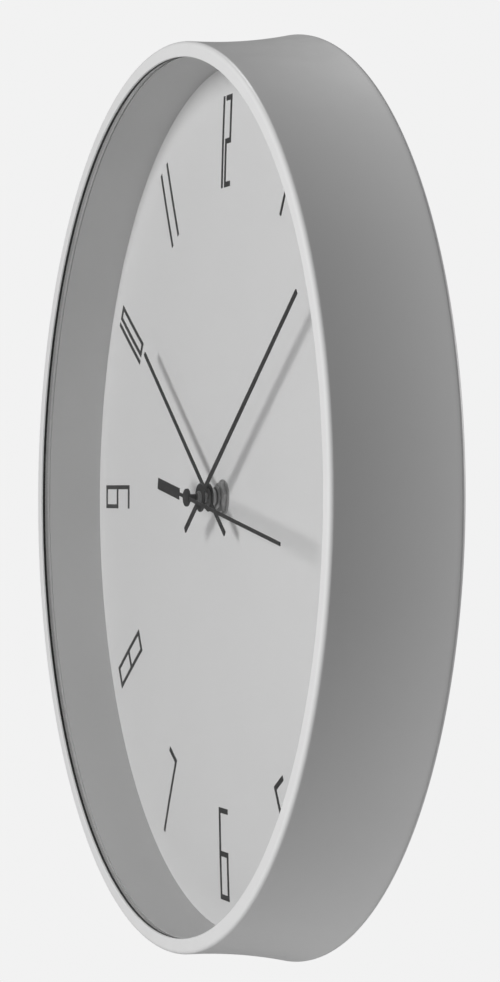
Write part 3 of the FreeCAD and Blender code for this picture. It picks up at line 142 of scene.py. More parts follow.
FLOOR_RADIUS, FLOOR_BELOW = 3.2, 0.5
FLOOR_FADE_START, FLOOR_FADE_END = 0.5, 1.4
SURROUND_TONE, FILL_STRENGTH = 0.887, 0.055
LAMPS = (
    ("key", (0.2, -1.0, 0.21), 1.6, 1.05, 25.8),
    ("from_above", (-0.4, 0.0, 1.0), 1.15, 0.3, 2.3),
    ("from_behind", (0.1, 1.0, 0.2), 1.6, 0.8, 13.0),
)


def at(x, depth, z):
    """A point in metres, in the frame that the CAD nodes lie in."""
    return Vector((x * MM, FRONT_Y + depth * MM, AXIS_Z + z * MM))


def depths(node):
    """Front and back depth of a CAD node."""
    low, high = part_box(node)
    return (low.y - FRONT_Y) / MM, (high.y - FRONT_Y) / MM


def middle_of(node):
    """The middle of a CAD node's box, as x, depth and z."""
    low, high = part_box(node)
    middle = (low + high) / 2
    return middle.x / MM, (middle.y - FRONT_Y) / MM, (middle.z - AXIS_Z) / MM


def radius_of(node):
    """Outer radius of a CAD node that is turned about the hand axis."""
    low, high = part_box(node)
    return (high.x - low.x) / 2 / MM


def half_height_of(node):
    """Half the height of a CAD node, which is the radius of a round one wherever it stands."""
    low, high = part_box(node)
    return (high.z - low.z) / 2 / MM


def ends_of(node):
    """Left and right end of a CAD node along X."""
    low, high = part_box(node)
    return low.x / MM, high.x / MM


# ---- mesh work ----

def piece_from(mesh, name, node, finish, smooth_below=35.0):
    """A finished piece that stands for a CAD node: same body, with the finish it is given."""
    bmesh.ops.recalc_face_normals(mesh, faces=mesh.faces)
    data = bpy.data.meshes.new(name)
    mesh.to_mesh(data)
    mesh.free()
    piece = bpy.data.objects.new(name, data)
    bpy.context.scene.collection.objects.link(piece)
    data.polygons.foreach_set("use_smooth", [True] * len(data.polygons))
    data.set_sharp_from_angle(angle=math.radians(smooth_below))
    weighting = piece.modifiers.new("even shading", "WEIGHTED_NORMAL")
    weighting.keep_sharp = True
    original = frame["nodes"][node]
    data.materials.append(finish)
    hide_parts(node)
    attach(piece, original["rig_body"])
    return piece


def rounded(corners, steps):
    """Corners given as (radius, depth, rounding), with each rounded one drawn as a short arc."""
    points = []
    for i, (radius, depth, rounding) in enumerate(corners):
        here = Vector((radius, depth))
        if rounding == 0:
            points.append(tuple(here))
            continue
        before = (Vector(corners[i - 1][:2]) - here).normalized()
        after = (Vector(corners[(i + 1) % len(corners)][:2]) - here).normalized()
        half = before.angle(after) / 2
        centre = here + (before + after).normalized() * rounding / math.sin(half)
        start = here + before * rounding / math.tan(half) - centre
        end = here + after * rounding / math.tan(half) - centre
        swing = start.angle(end)
        for k in range(steps + 1):
            near, far = math.sin(swing * (1 - k / steps)), math.sin(swing * k / steps)
            points.append(tuple(centre + (start * near + end * far) / math.sin(swing)))
    return points


def add_turned(mesh, outline_at, steps, place=(0.0, 0.0), sideways=False):
    """Adds a closed outline turned about the depth direction through an (x, z) place, or sideways about
    the X direction through a (depth, z) place. outline_at gives the (radius, distance along) points at
    an angle in radians. A radius of 0 is a point on the axis."""
    rings = []
    for i in range(steps):
        angle = 2 * math.pi * i / steps
        ring = []
        for radius, along in outline_at(angle):
            across, up = place[0] + radius * math.sin(angle), place[1] + radius * math.cos(angle)
            spot = at(along, across, up) if sideways else at(across, along, up)
            ring.append(mesh.verts.new(spot))
        rings.append(ring)
    for i, ring in enumerate(rings):
        beside = rings[(i + 1) % steps]
        for k in range(len(ring)):
            n = (k + 1) % len(ring)
            mesh.faces.new((ring[k], beside[k], beside[n], ring[n]))
    bmesh.ops.remove_doubles(mesh, verts=mesh.verts, dist=SAME_PLACE)
    return mesh


def turned(name, node, finish, outline, steps):
    """A piece turned about the hand axis from one outline."""
    mesh = add_turned(bmesh.new(), lambda angle: outline, steps)
    return piece_from(mesh, name, node, finish)


def add_plate(mesh, outline, front, back, edge, turn):
    """Adds a flat plate cut to an (x, z) outline, its edges broken, turned clockwise by degrees."""
    made = bmesh.new()
    face = made.faces.new([made.verts.new((x, front, z)) for x, z in outline])
    grown = bmesh.ops.extrude_face_region(made, geom=[face])["geom"]
    moved = [v for v in grown if isinstance(v, bmesh.types.BMVert)]
    bmesh.ops.translate(made, verts=moved, vec=(0, back - front, 0))
    bmesh.ops.recalc_face_normals(made, faces=made.faces)
    bmesh.ops.bevel(made, geom=made.edges, offset=edge, segments=2, affect="EDGES", profile=0.5)
    spin = Matrix.Rotation(math.radians(turn), 3, "Y")
    places = [at(*(spin @ v.co)) for v in made.verts]
    for vertex, place in zip(made.verts, places):
        vertex.co = place
    kept = bpy.data.meshes.new("scratch")
    made.to_mesh(kept)
    made.free()
    mesh.from_mesh(kept)
    bpy.data.meshes.remove(kept)
    return mesh


def softened(node, finish, width):
    """A copy of a CAD node with its sharp edges broken, as a moulding or a pressing has them."""
    mesh = bmesh.new()
    mesh.from_mesh(frame["nodes"][node].data)
    bmesh.ops.remove_doubles(mesh, verts=mesh.verts, dist=SAME_PLACE)
    bmesh.ops.dissolve_limit(
        mesh, angle_limit=math.radians(FLAT_BELOW), verts=mesh.verts, edges=mesh.edges)
    piece = piece_from(mesh, node + "_finished", node, finish, smooth_below=30.0)
    broken = piece.modifiers.new("broken edges", "BEVEL")
    broken.width = width * MM
    broken.segments = 2
    broken.limit_method = "ANGLE"
    broken.angle_limit = math.radians(SHARP_ABOVE)
    broken.use_clamp_overlap = True
    piece.modifiers.move(1, 0)
    return piece


# ---- material nodes ----

def add_node(tree, kind, values=None, **settings):
    """A shader node with its settings, and the values of its inputs by name or number."""
    made = tree.nodes.new("ShaderNode" + kind)
    for key, value in settings.items():
        setattr(made, key, value)
    for key, value in (values or {}).items():
        made.inputs[key].default_value = value
    return made


def place_in(tree, stretch=(1.0, 1.0, 1.0)):
    """Where a point is on its piece, stretched by three factors."""
    place = add_node(tree, "TexCoord").outputs["Object"]
    mapping = add_node(tree, "Mapping", {"Scale": stretch})
    tree.links.new(place, mapping.inputs["Vector"])
    return mapping.outputs["Vector"]


def noise(tree, per_mm, detail, stretch=(1.0, 1.0, 1.0), roughness=0.5):
    """Cloudy noise with so many patches to the millimetre."""
    made = add_node(tree, "TexNoise", {"Scale": per_mm / MM, "Detail": detail, "Roughness": roughness})
    tree.links.new(place_in(tree, stretch), made.inputs["Vector"])
    return made.outputs["Fac"]


def between(tree, factor, low, high, start=0.3, end=0.7):
    """Numbers from low to high as a factor goes from start to end."""
    made = add_node(tree, "MapRange", {"From Min": start, "From Max": end, "To Min": low, "To Max": high})
    tree.links.new(factor, made.inputs["Value"])
    return made.outputs["Result"]


def mixed_colour(tree, factor, low, high):
    """A colour between two, each given as three numbers or as another node's output."""
    made = add_node(tree, "Mix", data_type="RGBA")
    tree.links.new(factor, made.inputs["Factor"])
    for index, colour in ((6, low), (7, high)):
        if isinstance(colour, tuple):
            made.inputs[index].default_value = (*colour, 1.0)
        else:
            tree.links.new(colour, made.inputs[index])
    return made.outputs[2]


def arithmetic(tree, operation, first, second):
    """A Math node on two numbers or outputs."""
    made = add_node(tree, "Math", operation=operation)
    for index, value in enumerate((first, second)):
        if isinstance(value, (int, float)):
            made.inputs[index].default_value = value
        else:
            tree.links.new(value, made.inputs[index])
    return made.outputs["Value"]


def relief(tree, shader, heights):
    """Bumps from (height output, depth in mm) pairs, one on top of the other."""
    normal = None
    for height, depth in heights:
        made = add_node(tree, "Bump", {"Strength": 1.0, "Distance": depth * MM})
        tree.links.new(height, made.inputs["Height"])
        if normal is not None:
            tree.links.new(normal, made.inputs["Normal"])
        normal = made.outputs["Normal"]
    tree.links.new(normal, shader.inputs["Normal"])


def new_material(name):
    """An empty material with its tree and its surface shader."""
    material = bpy.data.materials.new(name)
    material.use_nodes = True
    return material, material.node_tree, material.node_tree.nodes["Principled BSDF"]


def grey(value):
    return (value, value, value)


def painted(name, low, high, rough, grain_per_mm, grain_depth, wave_depth=0.0, coat=0.0):
    """Paint or moulded plastic: a colour that drifts a little, fine grain and uneven gloss."""
    material, tree, shader = new_material(name)
    drift = noise(tree, 0.02, detail=3.0)
    tree.links.new(mixed_colour(tree, drift, low, high), shader.inputs["Base Color"])
    gloss = noise(tree, 0.15, detail=4.0)
    tree.links.new(between(tree, gloss, rough - 0.04, rough + 0.04), shader.inputs["Roughness"])
    heights = [(noise(tree, grain_per_mm, detail=3.0), grain_depth)]
    if wave_depth:
        heights.insert(0, (noise(tree, 0.25, detail=1.0), wave_depth))
    relief(tree, shader, heights)
    shader.inputs["Coat Weight"].default_value = coat
    shader.inputs["Coat Roughness"].default_value = 0.25
    return material


def case_satin():
    return painted("case_satin", grey(0.72), grey(0.76), 0.42, 1.6, 0.004, wave_depth=0.004, coat=0.1)


# Painted shade: the wall inside the case has the same white paint as the case, and this darker grey stands
# in for the shade that falls on it inside the case.
def ring_satin():
    return painted("ring_satin", grey(0.54), grey(0.58), 0.5, 2.0, 0.004)


def dial_satin():
    return painted("dial_satin", grey(0.72), grey(0.75), 0.6, 3.0, 0.003)


def numeral_ink():
    return painted("numeral_ink", grey(0.035), grey(0.05), 0.5, 4.0, 0.006)


def hand_black():
    return painted("hand_black", grey(0.035), grey(0.05), 0.45, 3.0, 0.003)


def seal_rubber():
    return painted("seal_rubber", grey(0.01), grey(0.02), 0.6, 2.5, 0.01)


def back_plastic():
    return painted("back_plastic", grey(0.62), grey(0.67), 0.5, 1.2, 0.02)


def movement_plastic():
    return painted("movement_plastic", grey(0.018), grey(0.028), 0.42, 1.4, 0.02)


def knob_plastic():
    return painted("knob_plastic", grey(0.02), grey(0.03), 0.38, 1.8, 0.012)


def wheel_plastic():
    material = painted("wheel_plastic", (0.72, 0.71, 0.64), (0.8, 0.79, 0.73), 0.35, 1.5, 0.006)
    shader = material.node_tree.nodes["Principled BSDF"]
    shader.inputs["Subsurface Weight"].default_value = 0.15
    shader.inputs["Subsurface Radius"].default_value = (0.002, 0.002, 0.0015)
    shader.inputs["Subsurface Scale"].default_value = 0.5
    return material


def chip_resin():
    return painted("chip_resin", grey(0.012), grey(0.018), 0.22, 0.8, 0.02, coat=0.4)


def metal(
    name, low, high, rough, per_mm, streak=(1.0, 1.0, 1.0), depth=0.004, tarnish=0.1, bright=1.0
):
    """Metal with cloudy tarnish and fine marks, which are drawn out along the axis where streak is small.
    A dull metal, with bright below 1, scatters part of its light."""
    material, tree, shader = new_material(name)
    shader.inputs["Metallic"].default_value = bright
    marks = noise(tree, per_mm, detail=4.0, stretch=streak, roughness=0.6)
    clouds = noise(tree, 0.12, detail=4.0)
    tone = mixed_colour(tree, marks, low, high)
    dull = tuple(part * 0.72 for part in low)
    share = between(tree, clouds, 0.0, tarnish, start=0.45, end=0.75)
    tree.links.new(mixed_colour(tree, share, tone, dull), shader.inputs["Base Color"])
    worn = arithmetic(tree, "ADD", between(tree, marks, rough - 0.06, rough + 0.06), share)
    tree.links.new(worn, shader.inputs["Roughness"])
    relief(tree, shader, [(marks, depth)])
    return material


def screw_steel():
    return metal("screw_steel", grey(0.52), grey(0.62), 0.3, per_mm=2.0, tarnish=0.3)


def plate_steel():
    return metal(
        "plate_steel", grey(0.55), grey(0.64), 0.32, per_mm=3.0, streak=(0.06, 1.0, 1.0), tarnish=0.25)


def plated_brass():
    return metal("plated_brass", grey(0.4), grey(0.54), 0.38, per_mm=2.0, tarnish=0.3, bright=0.45)


def plated_nut():
    return metal("plated_nut", grey(0.36), grey(0.56), 0.36, per_mm=2.5, tarnish=0.4, bright=0.55)


def contact_steel():
    low, high = (0.6, 0.58, 0.54), (0.7, 0.68, 0.64)
    return metal("contact_steel", low, high, 0.26, per_mm=3.0, streak=(1.0, 1.0, 0.08))


def crystal_can():
    return metal("crystal_can", grey(0.6), grey(0.7), 0.2, streak=(1.0, 1.0, 0.05), per_mm=4.0)


def motor_iron():
    return metal("motor_iron", grey(0.38), grey(0.46), 0.4, streak=(0.1, 1.0, 1.0), per_mm=2.5, tarnish=0.4)


def arbor_steel():
    return metal("arbor_steel", grey(0.52), grey(0.6), 0.22, streak=(1.0, 0.05, 1.0), per_mm=6.0)


def magnet_ferrite():
    return metal("magnet_ferrite", grey(0.1), grey(0.14), 0.5, per_mm=3.0, depth=0.01, tarnish=0.2)


def copper_wire():
    """Fine enamelled copper, wound in turns across the coil."""
    material, tree, shader = new_material("copper_wire")
    shader.inputs["Metallic"].default_value = 1.0
    turns = add_node(
        tree, "TexWave", {"Scale": 600.0, "Distortion": 1.2, "Detail": 1.0, "Detail Scale": 0.4})
    tree.links.new(place_in(tree), turns.inputs["Vector"])
    tone = mixed_colour(tree, turns.outputs["Fac"], (0.32, 0.1, 0.035), (0.72, 0.32, 0.15))
    tree.links.new(tone, shader.inputs["Base Color"])
    gloss = noise(tree, 0.6, detail=3.0)
    tree.links.new(between(tree, gloss, 0.22, 0.36), shader.inputs["Roughness"])
    relief(tree, shader, [(turns.outputs["Fac"], 0.05)])
    shader.inputs["Coat Weight"].default_value = 0.5
    shader.inputs["Coat Roughness"].default_value = 0.15
    return material


def board_laminate():
    """Green solder mask over copper tracks that show as raised, paler bands."""
    material, tree, shader = new_material("board_laminate")
    tracks = add_node(tree, "TexBrick", {"Scale": 260.0, "Mortar Size": 0.08, "Row Height": 0.6})
    tree.links.new(place_in(tree), tracks.inputs["Vector"])
    weave = noise(tree, 3.0, detail=2.0)
    base = mixed_colour(tree, weave, (0.012, 0.09, 0.035), (0.018, 0.12, 0.05))
    tone = mixed_colour(tree, tracks.outputs["Fac"], base, (0.03, 0.2, 0.08))
    tree.links.new(tone, shader.inputs["Base Color"])
    tree.links.new(between(tree, weave, 0.25, 0.4), shader.inputs["Roughness"])
    relief(tree, shader, [(tracks.outputs["Fac"], 0.03), (weave, 0.006)])
    shader.inputs["Coat Weight"].default_value = 0.3
    return material


def battery_jacket():
    """A printed jacket with a band near the button, and bare steel ends. The band and the jacket are given
    by their middle and half their width, as shares of the length."""
    band_middle, band_half = 0.83, 0.055
    jacket_middle, jacket_half = 0.486, 0.458
    material, tree, shader = new_material("battery_jacket")
    low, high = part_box("battery")
    place = add_node(tree, "SeparateXYZ")
    tree.links.new(place_in(tree), place.inputs["Vector"])
    along = between(tree, place.outputs["X"], 0.0, 1.0, low.x, high.x)
    band = arithmetic(tree, "COMPARE", along, band_middle)
    band.node.inputs[2].default_value = band_half
    printed = mixed_colour(tree, band, (0.02, 0.09, 0.2), (0.62, 0.63, 0.64))
    jacket = arithmetic(tree, "COMPARE", along, jacket_middle)
    jacket.node.inputs[2].default_value = jacket_half
    scuffs = noise(tree, 0.5, detail=5.0, stretch=(0.2, 1.0, 1.0))
    steel = mixed_colour(tree, scuffs, grey(0.5), grey(0.62))
    tree.links.new(mixed_colour(tree, jacket, steel, printed), shader.inputs["Base Color"])
    tree.links.new(arithmetic(tree, "SUBTRACT", 1.0, jacket), shader.inputs["Metallic"])
    tree.links.new(between(tree, scuffs, 0.2, 0.34), shader.inputs["Roughness"])
    relief(tree, shader, [(noise(tree, 0.8, detail=2.0), 0.01)])
    return material


def lens_glass():
    """Thin window glass: it mirrors by the angle it is met at, and what is behind it isn't shifted."""
    material, tree, shader = new_material("lens_glass")
    tree.nodes.remove(shader)
    clear = add_node(tree, "BsdfTransparent", {"Color": (0.985, 0.985, 0.985, 1.0)})
    mirror = add_node(tree, "BsdfGlossy", {"Color": (1.0, 1.0, 1.0, 1.0)})
    wiped = noise(tree, 0.03, detail=5.0)
    tree.links.new(between(tree, wiped, 0.02, 0.09), mirror.inputs["Roughness"])
    meeting = add_node(tree, "Fresnel", {"IOR": 1.5}).outputs["Fac"]
    inside = add_node(tree, "NewGeometry").outputs["Backfacing"]
    outside = arithmetic(tree, "SUBTRACT", 1.0, inside)
    mix = add_node(tree, "MixShader")
    tree.links.new(arithmetic(tree, "MULTIPLY", meeting, outside), mix.inputs["Fac"])
    tree.links.new(clear.outputs[0], mix.inputs[1])
    tree.links.new(mirror.outputs[0], mix.inputs[2])
    tree.links.new(mix.outputs[0], tree.nodes["Material Output"].inputs["Surface"])
    return material


FINISH_MAKERS = [
    case_satin, ring_satin, dial_satin, numeral_ink, hand_black, lens_glass, seal_rubber,
    back_plastic, screw_steel, plate_steel, plated_brass, plated_nut, movement_plastic,
    knob_plastic, battery_jacket, contact_steel, board_laminate, chip_resin, crystal_can,
    wheel_plastic, copper_wire, motor_iron, magnet_ferrite, arbor_steel,
]


# ---- case, glass and dial ----

def flare_radius_at(depth):
    """Outer radius of the case: an arc that leaves the rim level and widens to the back edge."""
    length = depths("case_shell")[1] - BACK_ROUND - RIM_ROUND
    rise = radius_of("case_shell") - RIM_RADIUS
    arc = (length * length + rise * rise) / (2 * rise)
    return RIM_RADIUS + arc - math.sqrt(arc * arc - (depth - RIM_ROUND) ** 2)


def quarter(centre_radius, centre_depth, size, start, end, steps):
    """Points of an arc in the section, between two angles in degrees from outwards towards the wall."""
    angles = [math.radians(start + (end - start) * k / steps) for k in range(steps + 1)]
    return [(centre_radius + size * math.cos(a), centre_depth + size * math.sin(a)) for a in angles]


def case_outline():
    """Section of the case, from the rounded rim along the flare and round through the inner steps."""
    back = depths("case_shell")[1]
    back_radius = radius_of("case_shell")
    lip = depths("lens_seal")[0]
    glass_back = depths("lens")[1]
    flare_steps = 40
    flare_end = back - BACK_ROUND
    points = quarter(RIM_RADIUS - RIM_ROUND, RIM_ROUND, RIM_ROUND, -90, 0, 14)
    for k in range(1, flare_steps):
        depth = RIM_ROUND + (flare_end - RIM_ROUND) * k / flare_steps
        points.append((flare_radius_at(depth), depth))
    points += quarter(back_radius - BACK_ROUND, flare_end, BACK_ROUND, 0, 90, 8)
    inner = rounded([
        (back_radius - BACK_ROUND, back, 0.0),
        (REAR_INNER_RADIUS, back, 0.5), (REAR_INNER_RADIUS, REAR_STEP_DEPTH, 0.4),
        (POCKET_RADIUS, REAR_STEP_DEPTH, 0.15), (POCKET_RADIUS, glass_back, 0.1),
        (GLASS_POCKET_RADIUS, glass_back, 0.1), (GLASS_POCKET_RADIUS, lip, 0.05),
        (OPENING_RADIUS, lip, 0.1), (OPENING_RADIUS, 0.0, 0.3),
        (RIM_RADIUS - RIM_ROUND, 0.0, 0.0),
    ], steps=4)
    return points + inner[1:-1]


def screw_places():
    """Where the rear cover's screws stand, as (x, z)."""
    turns = [math.radians(30 + 360 * i / COVER_SCREWS) for i in range(COVER_SCREWS)]
    return [(COVER_SCREW_RADIUS * math.cos(a), COVER_SCREW_RADIUS * math.sin(a)) for a in turns]


def make_case(finish):
    """The case ring and, inside it, the bosses that the rear cover's screws go into."""
    outline = case_outline()
    mesh = add_turned(bmesh.new(), lambda angle: outline, steps=LARGE_STEPS)
    seat = depths("rear_cover")[1] - COVER_THICK
    root = REAR_STEP_DEPTH - BOSS_ROOT
    boss = rounded([
        (BOSS_RADIUS, root, 0.0), (BOSS_RADIUS, seat, 0.3), (BOSS_BORE, seat, 0.2),
        (BOSS_BORE, seat - BOSS_BORE_LENGTH, 0.0), (0.0, seat - BOSS_BORE_LENGTH, 0.0),
        (0.0, root, 0.0),
    ], steps=3)
    for place in screw_places():
        add_turned(mesh, lambda angle: boss, steps=40, place=place)
    return piece_from(mesh, "case_ring", "case_shell", finish)


def make_seal(finish):
    front, back = depths("lens_seal")
    outer = radius_of("lens_seal")
    middle = (front + back) / 2
    outline = rounded([
        (outer, front, 0.1), (outer, back, 0.1), (OPENING_RADIUS, back, 0.1),
        (OPENING_RADIUS + 0.08, middle, 0.0), (OPENING_RADIUS, front, 0.1),
    ], steps=3)
    return turned("seal_ring", "lens_seal", finish, outline, steps=LARGE_STEPS)


def make_lens(finish):
    """The flat glass, its edges ground."""
    front, back = depths("lens")
    outer = radius_of("lens")
    ground = 0.15
    outline = [
        (0.0, front), (outer - ground, front), (outer, front + ground),
        (outer, back - ground), (outer - ground, back), (0.0, back),
    ]
    return turned("window_glass", "lens", finish, outline, steps=LARGE_STEPS)


def make_inner_ring(finish):
    front, back = depths("inner_ring")
    outline = rounded([
        (radius_of("inner_ring"), front, 0.1), (radius_of("inner_ring"), back, 0.1),
        (OPENING_RADIUS, back, 0.1), (OPENING_RADIUS, front + RING_TAPER, 0.0),
        (RING_FRONT_RADIUS, front, 0.05),
    ], steps=3)
    return turned("spacer_ring", "inner_ring", finish, outline, steps=LARGE_STEPS)


def dial_depth(radius):
    """Depth of the dial's front at a radius: nearly flat in the middle and falling to the edge."""
    edge = depths("inner_ring")[1]
    share = min(radius / OPENING_RADIUS, 1.0)
    return edge - DIAL_RISE * (1 - share ** DIAL_CROWN_POWER)


def make_dial(finish):
    rings = 48
    outer = radius_of("dial_plate")
    hole = DIAL_HOLE_RADIUS
    radii = [hole + (OPENING_RADIUS - hole) * k / rings for k in range(rings + 1)]
    front = [(r, dial_depth(r)) for r in radii] + [(outer, dial_depth(outer))]
    back = [(r, depth + DIAL_THICK) for r, depth in reversed(front)]
    return turned("dial_face", "dial_plate", finish, front + back, steps=LARGE_STEPS)


# ---- hands ----

def hand_outline(half_tip, half_hub, tip, tail, disc, half_tail=None, neck=0.0):
    """A straight hand with a round centre, pointing at twelve. A tail of its own width starts at neck."""
    steps = 28
    half_tail = half_tail or half_hub
    side = math.asin(half_hub / disc)
    right = [(half_tip, tip)]
    right += [
        (disc * math.sin(a), disc * math.cos(a))
        for a in (side + (math.pi - 2 * side) * k / steps for k in range(steps + 1))
    ]
    if neck:
        right += [(half_hub, -neck), (half_tail, -neck)]
    right.append((half_tail, -tail))
    return right + [(-x, z) for x, z in reversed(right)]


def make_hand(name, node, finish, outline, turn, edge=HAND_EDGE):
    front, back = depths(node)
    mesh = add_plate(bmesh.new(), outline, front, back, edge, turn)
    return piece_from(mesh, name, node, finish)


def make_hour_hand(finish):
    outline = hand_outline(HOUR_WIDTH_TIP / 2, HOUR_WIDTH_HUB / 2, HOUR_TIP, HOUR_TAIL, HOUR_DISC)
    return make_hand("hour_blade", "hour_hand", finish, outline, HOUR_TURN)


def make_minute_hand(finish):
    outline = hand_outline(
        MINUTE_WIDTH_TIP / 2, MINUTE_WIDTH_HUB / 2, MINUTE_TIP, MINUTE_TAIL, MINUTE_DISC)
    return make_hand("minute_blade", "minute_hand", finish, outline, MINUTE_TURN)


def make_second_hand(finish):
    half = NEEDLE_WIDTH / 2
    outline = hand_outline(half, half, SECOND_TIP, SECOND_TAIL, SECOND_DISC, PADDLE_WIDTH / 2, SECOND_NECK)
    return make_hand("second_needle", "second_hand", finish, outline, SECOND_TURN, SECOND_HAND_EDGE)


def make_second_hub(finish):
    """A cap with a rounded front edge, clear of the hand in the middle, and its tube."""
    front, back = depths("second_hand_hub")
    hand_front, hand_back = depths("second_hand")
    cap_back = front + CAP_THICK
    above_hand, below_hand = hand_front - CAP_PLAY, hand_back + CAP_PLAY
    rivet = SECOND_DISC / 2
    outline = rounded([
        (0.0, front, 0.0), (SECOND_DISC, front, 0.25), (SECOND_DISC, above_hand, 0.03),
        (rivet, above_hand, 0.0), (rivet, below_hand, 0.0),
        (SECOND_DISC, below_hand, 0.03), (SECOND_DISC, cap_back, 0.12),
        (SECOND_TUBE, cap_back, 0.15), (SECOND_TUBE, back, 0.1), (ARBOR, back, 0.05),
        (ARBOR, front + CAP_FRONT, 0.0), (0.0, front + CAP_FRONT, 0.0),
    ], steps=4)
    return turned("second_cap", "second_hand_hub", finish, outline, steps=SMALL_STEPS)


def make_collar(name, node, finish, hand_back, pipe, rivet, collar):
    """The collar that grips a hand's pipe: its front end is spread over the hand like a rivet."""
    front, back = depths(node)
    outline = rounded([
        (pipe, front, 0.06), (rivet, front, 0.2), (rivet, hand_back, 0.0), (collar, hand_back, 0.0),
        (collar, back, 0.15), (pipe, back, 0.08),
    ], steps=4)
    return turned(name, node, finish, outline, steps=SMALL_STEPS)


def make_hand_collars(finish):
    hour_back, minute_back = depths("hour_hand")[1], depths("minute_hand")[1]
    make_collar("hour_collar", "hour_hand_bush", finish, hour_back, HOUR_PIPE, HOUR_RIVET, HOUR_COLLAR)
    make_collar(
        "minute_collar", "minute_hand_bush", finish, minute_back, MINUTE_PIPE, MINUTE_RIVET, MINUTE_COLLAR)


# ---- centre fasteners ----

def make_bush(finish):
    """The fixing bush, with a real helical thread from its mouth to the housing's collar."""
    rows_per_pitch = 10
    front, back = depths("threaded_bush")
    collar = depths("movement_base")[0]
    root = BUSH_RADIUS - THREAD_DEPTH
    thread_start, thread_end = front + THREAD_LEAD_IN, collar - THREAD_RUN_OUT
    rows = int((thread_end - front) / THREAD_PITCH * rows_per_pitch)

    def outline_at(angle):
        turn = angle / (2 * math.pi)
        thread = []
        for k in range(rows + 1):
            depth = thread_start + (thread_end - thread_start) * k / rows
            phase = (depth / THREAD_PITCH + turn) % 1.0
            ridge = min(1.0, THREAD_FLANK * (1 - abs(2 * phase - 1)))
            fade = min(1.0, (depth - thread_start) / THREAD_FADE)
            thread.append((root + THREAD_DEPTH * ridge * fade, depth))
        return [(BUSH_BORE, front), (root - THREAD_LEAD_IN, front)] + thread + [
            (BUSH_RADIUS, collar), (BUSH_COLLAR_RADIUS, collar), (BUSH_COLLAR_RADIUS, back),
            (BUSH_BORE, back),
        ]

    mesh = add_turned(bmesh.new(), outline_at, steps=120)
    return piece_from(mesh, "fixing_bush", "threaded_bush", finish, smooth_below=50.0)


def make_nut(finish):
    """A hexagon nut whose front corners are turned down to a cone."""
    front, back = depths("hex_nut")
    corner = NUT_ACROSS_CORNERS / 2
    flat = corner * math.cos(math.pi / 6)
    bore = BUSH_RADIUS + NUT_PLAY
    cone_start = flat - NUT_CONE_STEP

    def outline_at(angle):
        off_corner = (math.degrees(angle) + NUT_TURN - 90) % 60 - 30
        side = flat / math.cos(math.radians(off_corner))
        cone_end = front + (side - cone_start) * math.tan(math.radians(NUT_CONE_ANGLE))
        return [
            (bore, front + NUT_COUNTERSINK), (bore + NUT_COUNTERSINK, front),
            (cone_start, front), (side, cone_end),
            (side, back - 0.1), (side - 0.1, back), (bore + 0.2, back), (bore, back - 0.2),
        ]

    mesh = add_turned(bmesh.new(), outline_at, steps=180)
    return piece_from(mesh, "fixing_nut", "hex_nut", finish)


def make_washer(finish):
    front, back = depths("brass_washer")
    outer, inner = radius_of("brass_washer"), BUSH_RADIUS + WASHER_PLAY
    outline = rounded([
        (outer, front, 0.12), (outer, back, 0.08), (inner, back, 0.08), (inner, front, 0.12),
    ], steps=3)
    return turned("fixing_washer", "brass_washer", finish, outline, steps=160)


def make_rubber_washer(finish):
    front, back = depths("rubber_washer")
    outer, inner = radius_of("rubber_washer"), BUSH_RADIUS + WASHER_PLAY
    outline = rounded([
        (outer, front, 0.2), (outer, back, 0.2), (inner, back, 0.1), (inner, front, 0.1),
    ], steps=4)
    return turned("rubber_disc", "rubber_washer", finish, outline, steps=128)


# ---- what shows at the back ----

def make_battery(finish):
    """A cell lying along X: the jacket is drawn in over both ends, round the flat pole and the button."""
    start, end = ends_of("battery")
    _, depth, height = middle_of("battery")
    radius = half_height_of("battery")
    shoulder = end - BATTERY_BUTTON_RISE
    foot = shoulder - BATTERY_LIP_HEIGHT
    outline = rounded([
        (0.0, start, 0.0), (BATTERY_POLE, start, 0.12), (BATTERY_POLE, start + BATTERY_POLE_RISE, 0.0),
        (radius, start + BATTERY_POLE_RISE, 0.5), (radius, shoulder, 0.6),
        (radius - BATTERY_LIP, shoulder, 0.1), (radius - BATTERY_LIP_FOOT, foot, 0.0),
        (BATTERY_BUTTON, foot, 0.1), (BATTERY_BUTTON, end, 0.3), (0.0, end, 0.0),
    ], steps=5)
    mesh = add_turned(bmesh.new(), lambda angle: outline, SMALL_STEPS, (depth, height), sideways=True)
    return piece_from(mesh, "battery_cell", "battery", finish)


def make_coil(finish):
    """The winding as it lies: turn beside turn between the bobbin's two flanges."""
    start, end = ends_of("coil_winding")
    _, depth, height = middle_of("coil_winding")
    radius = half_height_of("coil_winding")
    valley_radius = radius - WIRE_DEPTH
    turns = int((end - start) / WIRE_PITCH)
    outline = [(COIL_BORE, start), (valley_radius, start)]
    for k in range(turns):
        valley = start + (end - start) * k / turns
        outline.append((radius, valley + WIRE_PITCH / 2))
        outline.append((valley_radius, valley + WIRE_PITCH))
    outline = outline[:-1] + [(valley_radius, end), (COIL_BORE, end)]
    mesh = add_turned(bmesh.new(), lambda angle: outline, 64, (depth, height), sideways=True)
    return piece_from(mesh, "wound_wire", "coil_winding", finish, smooth_below=60.0)


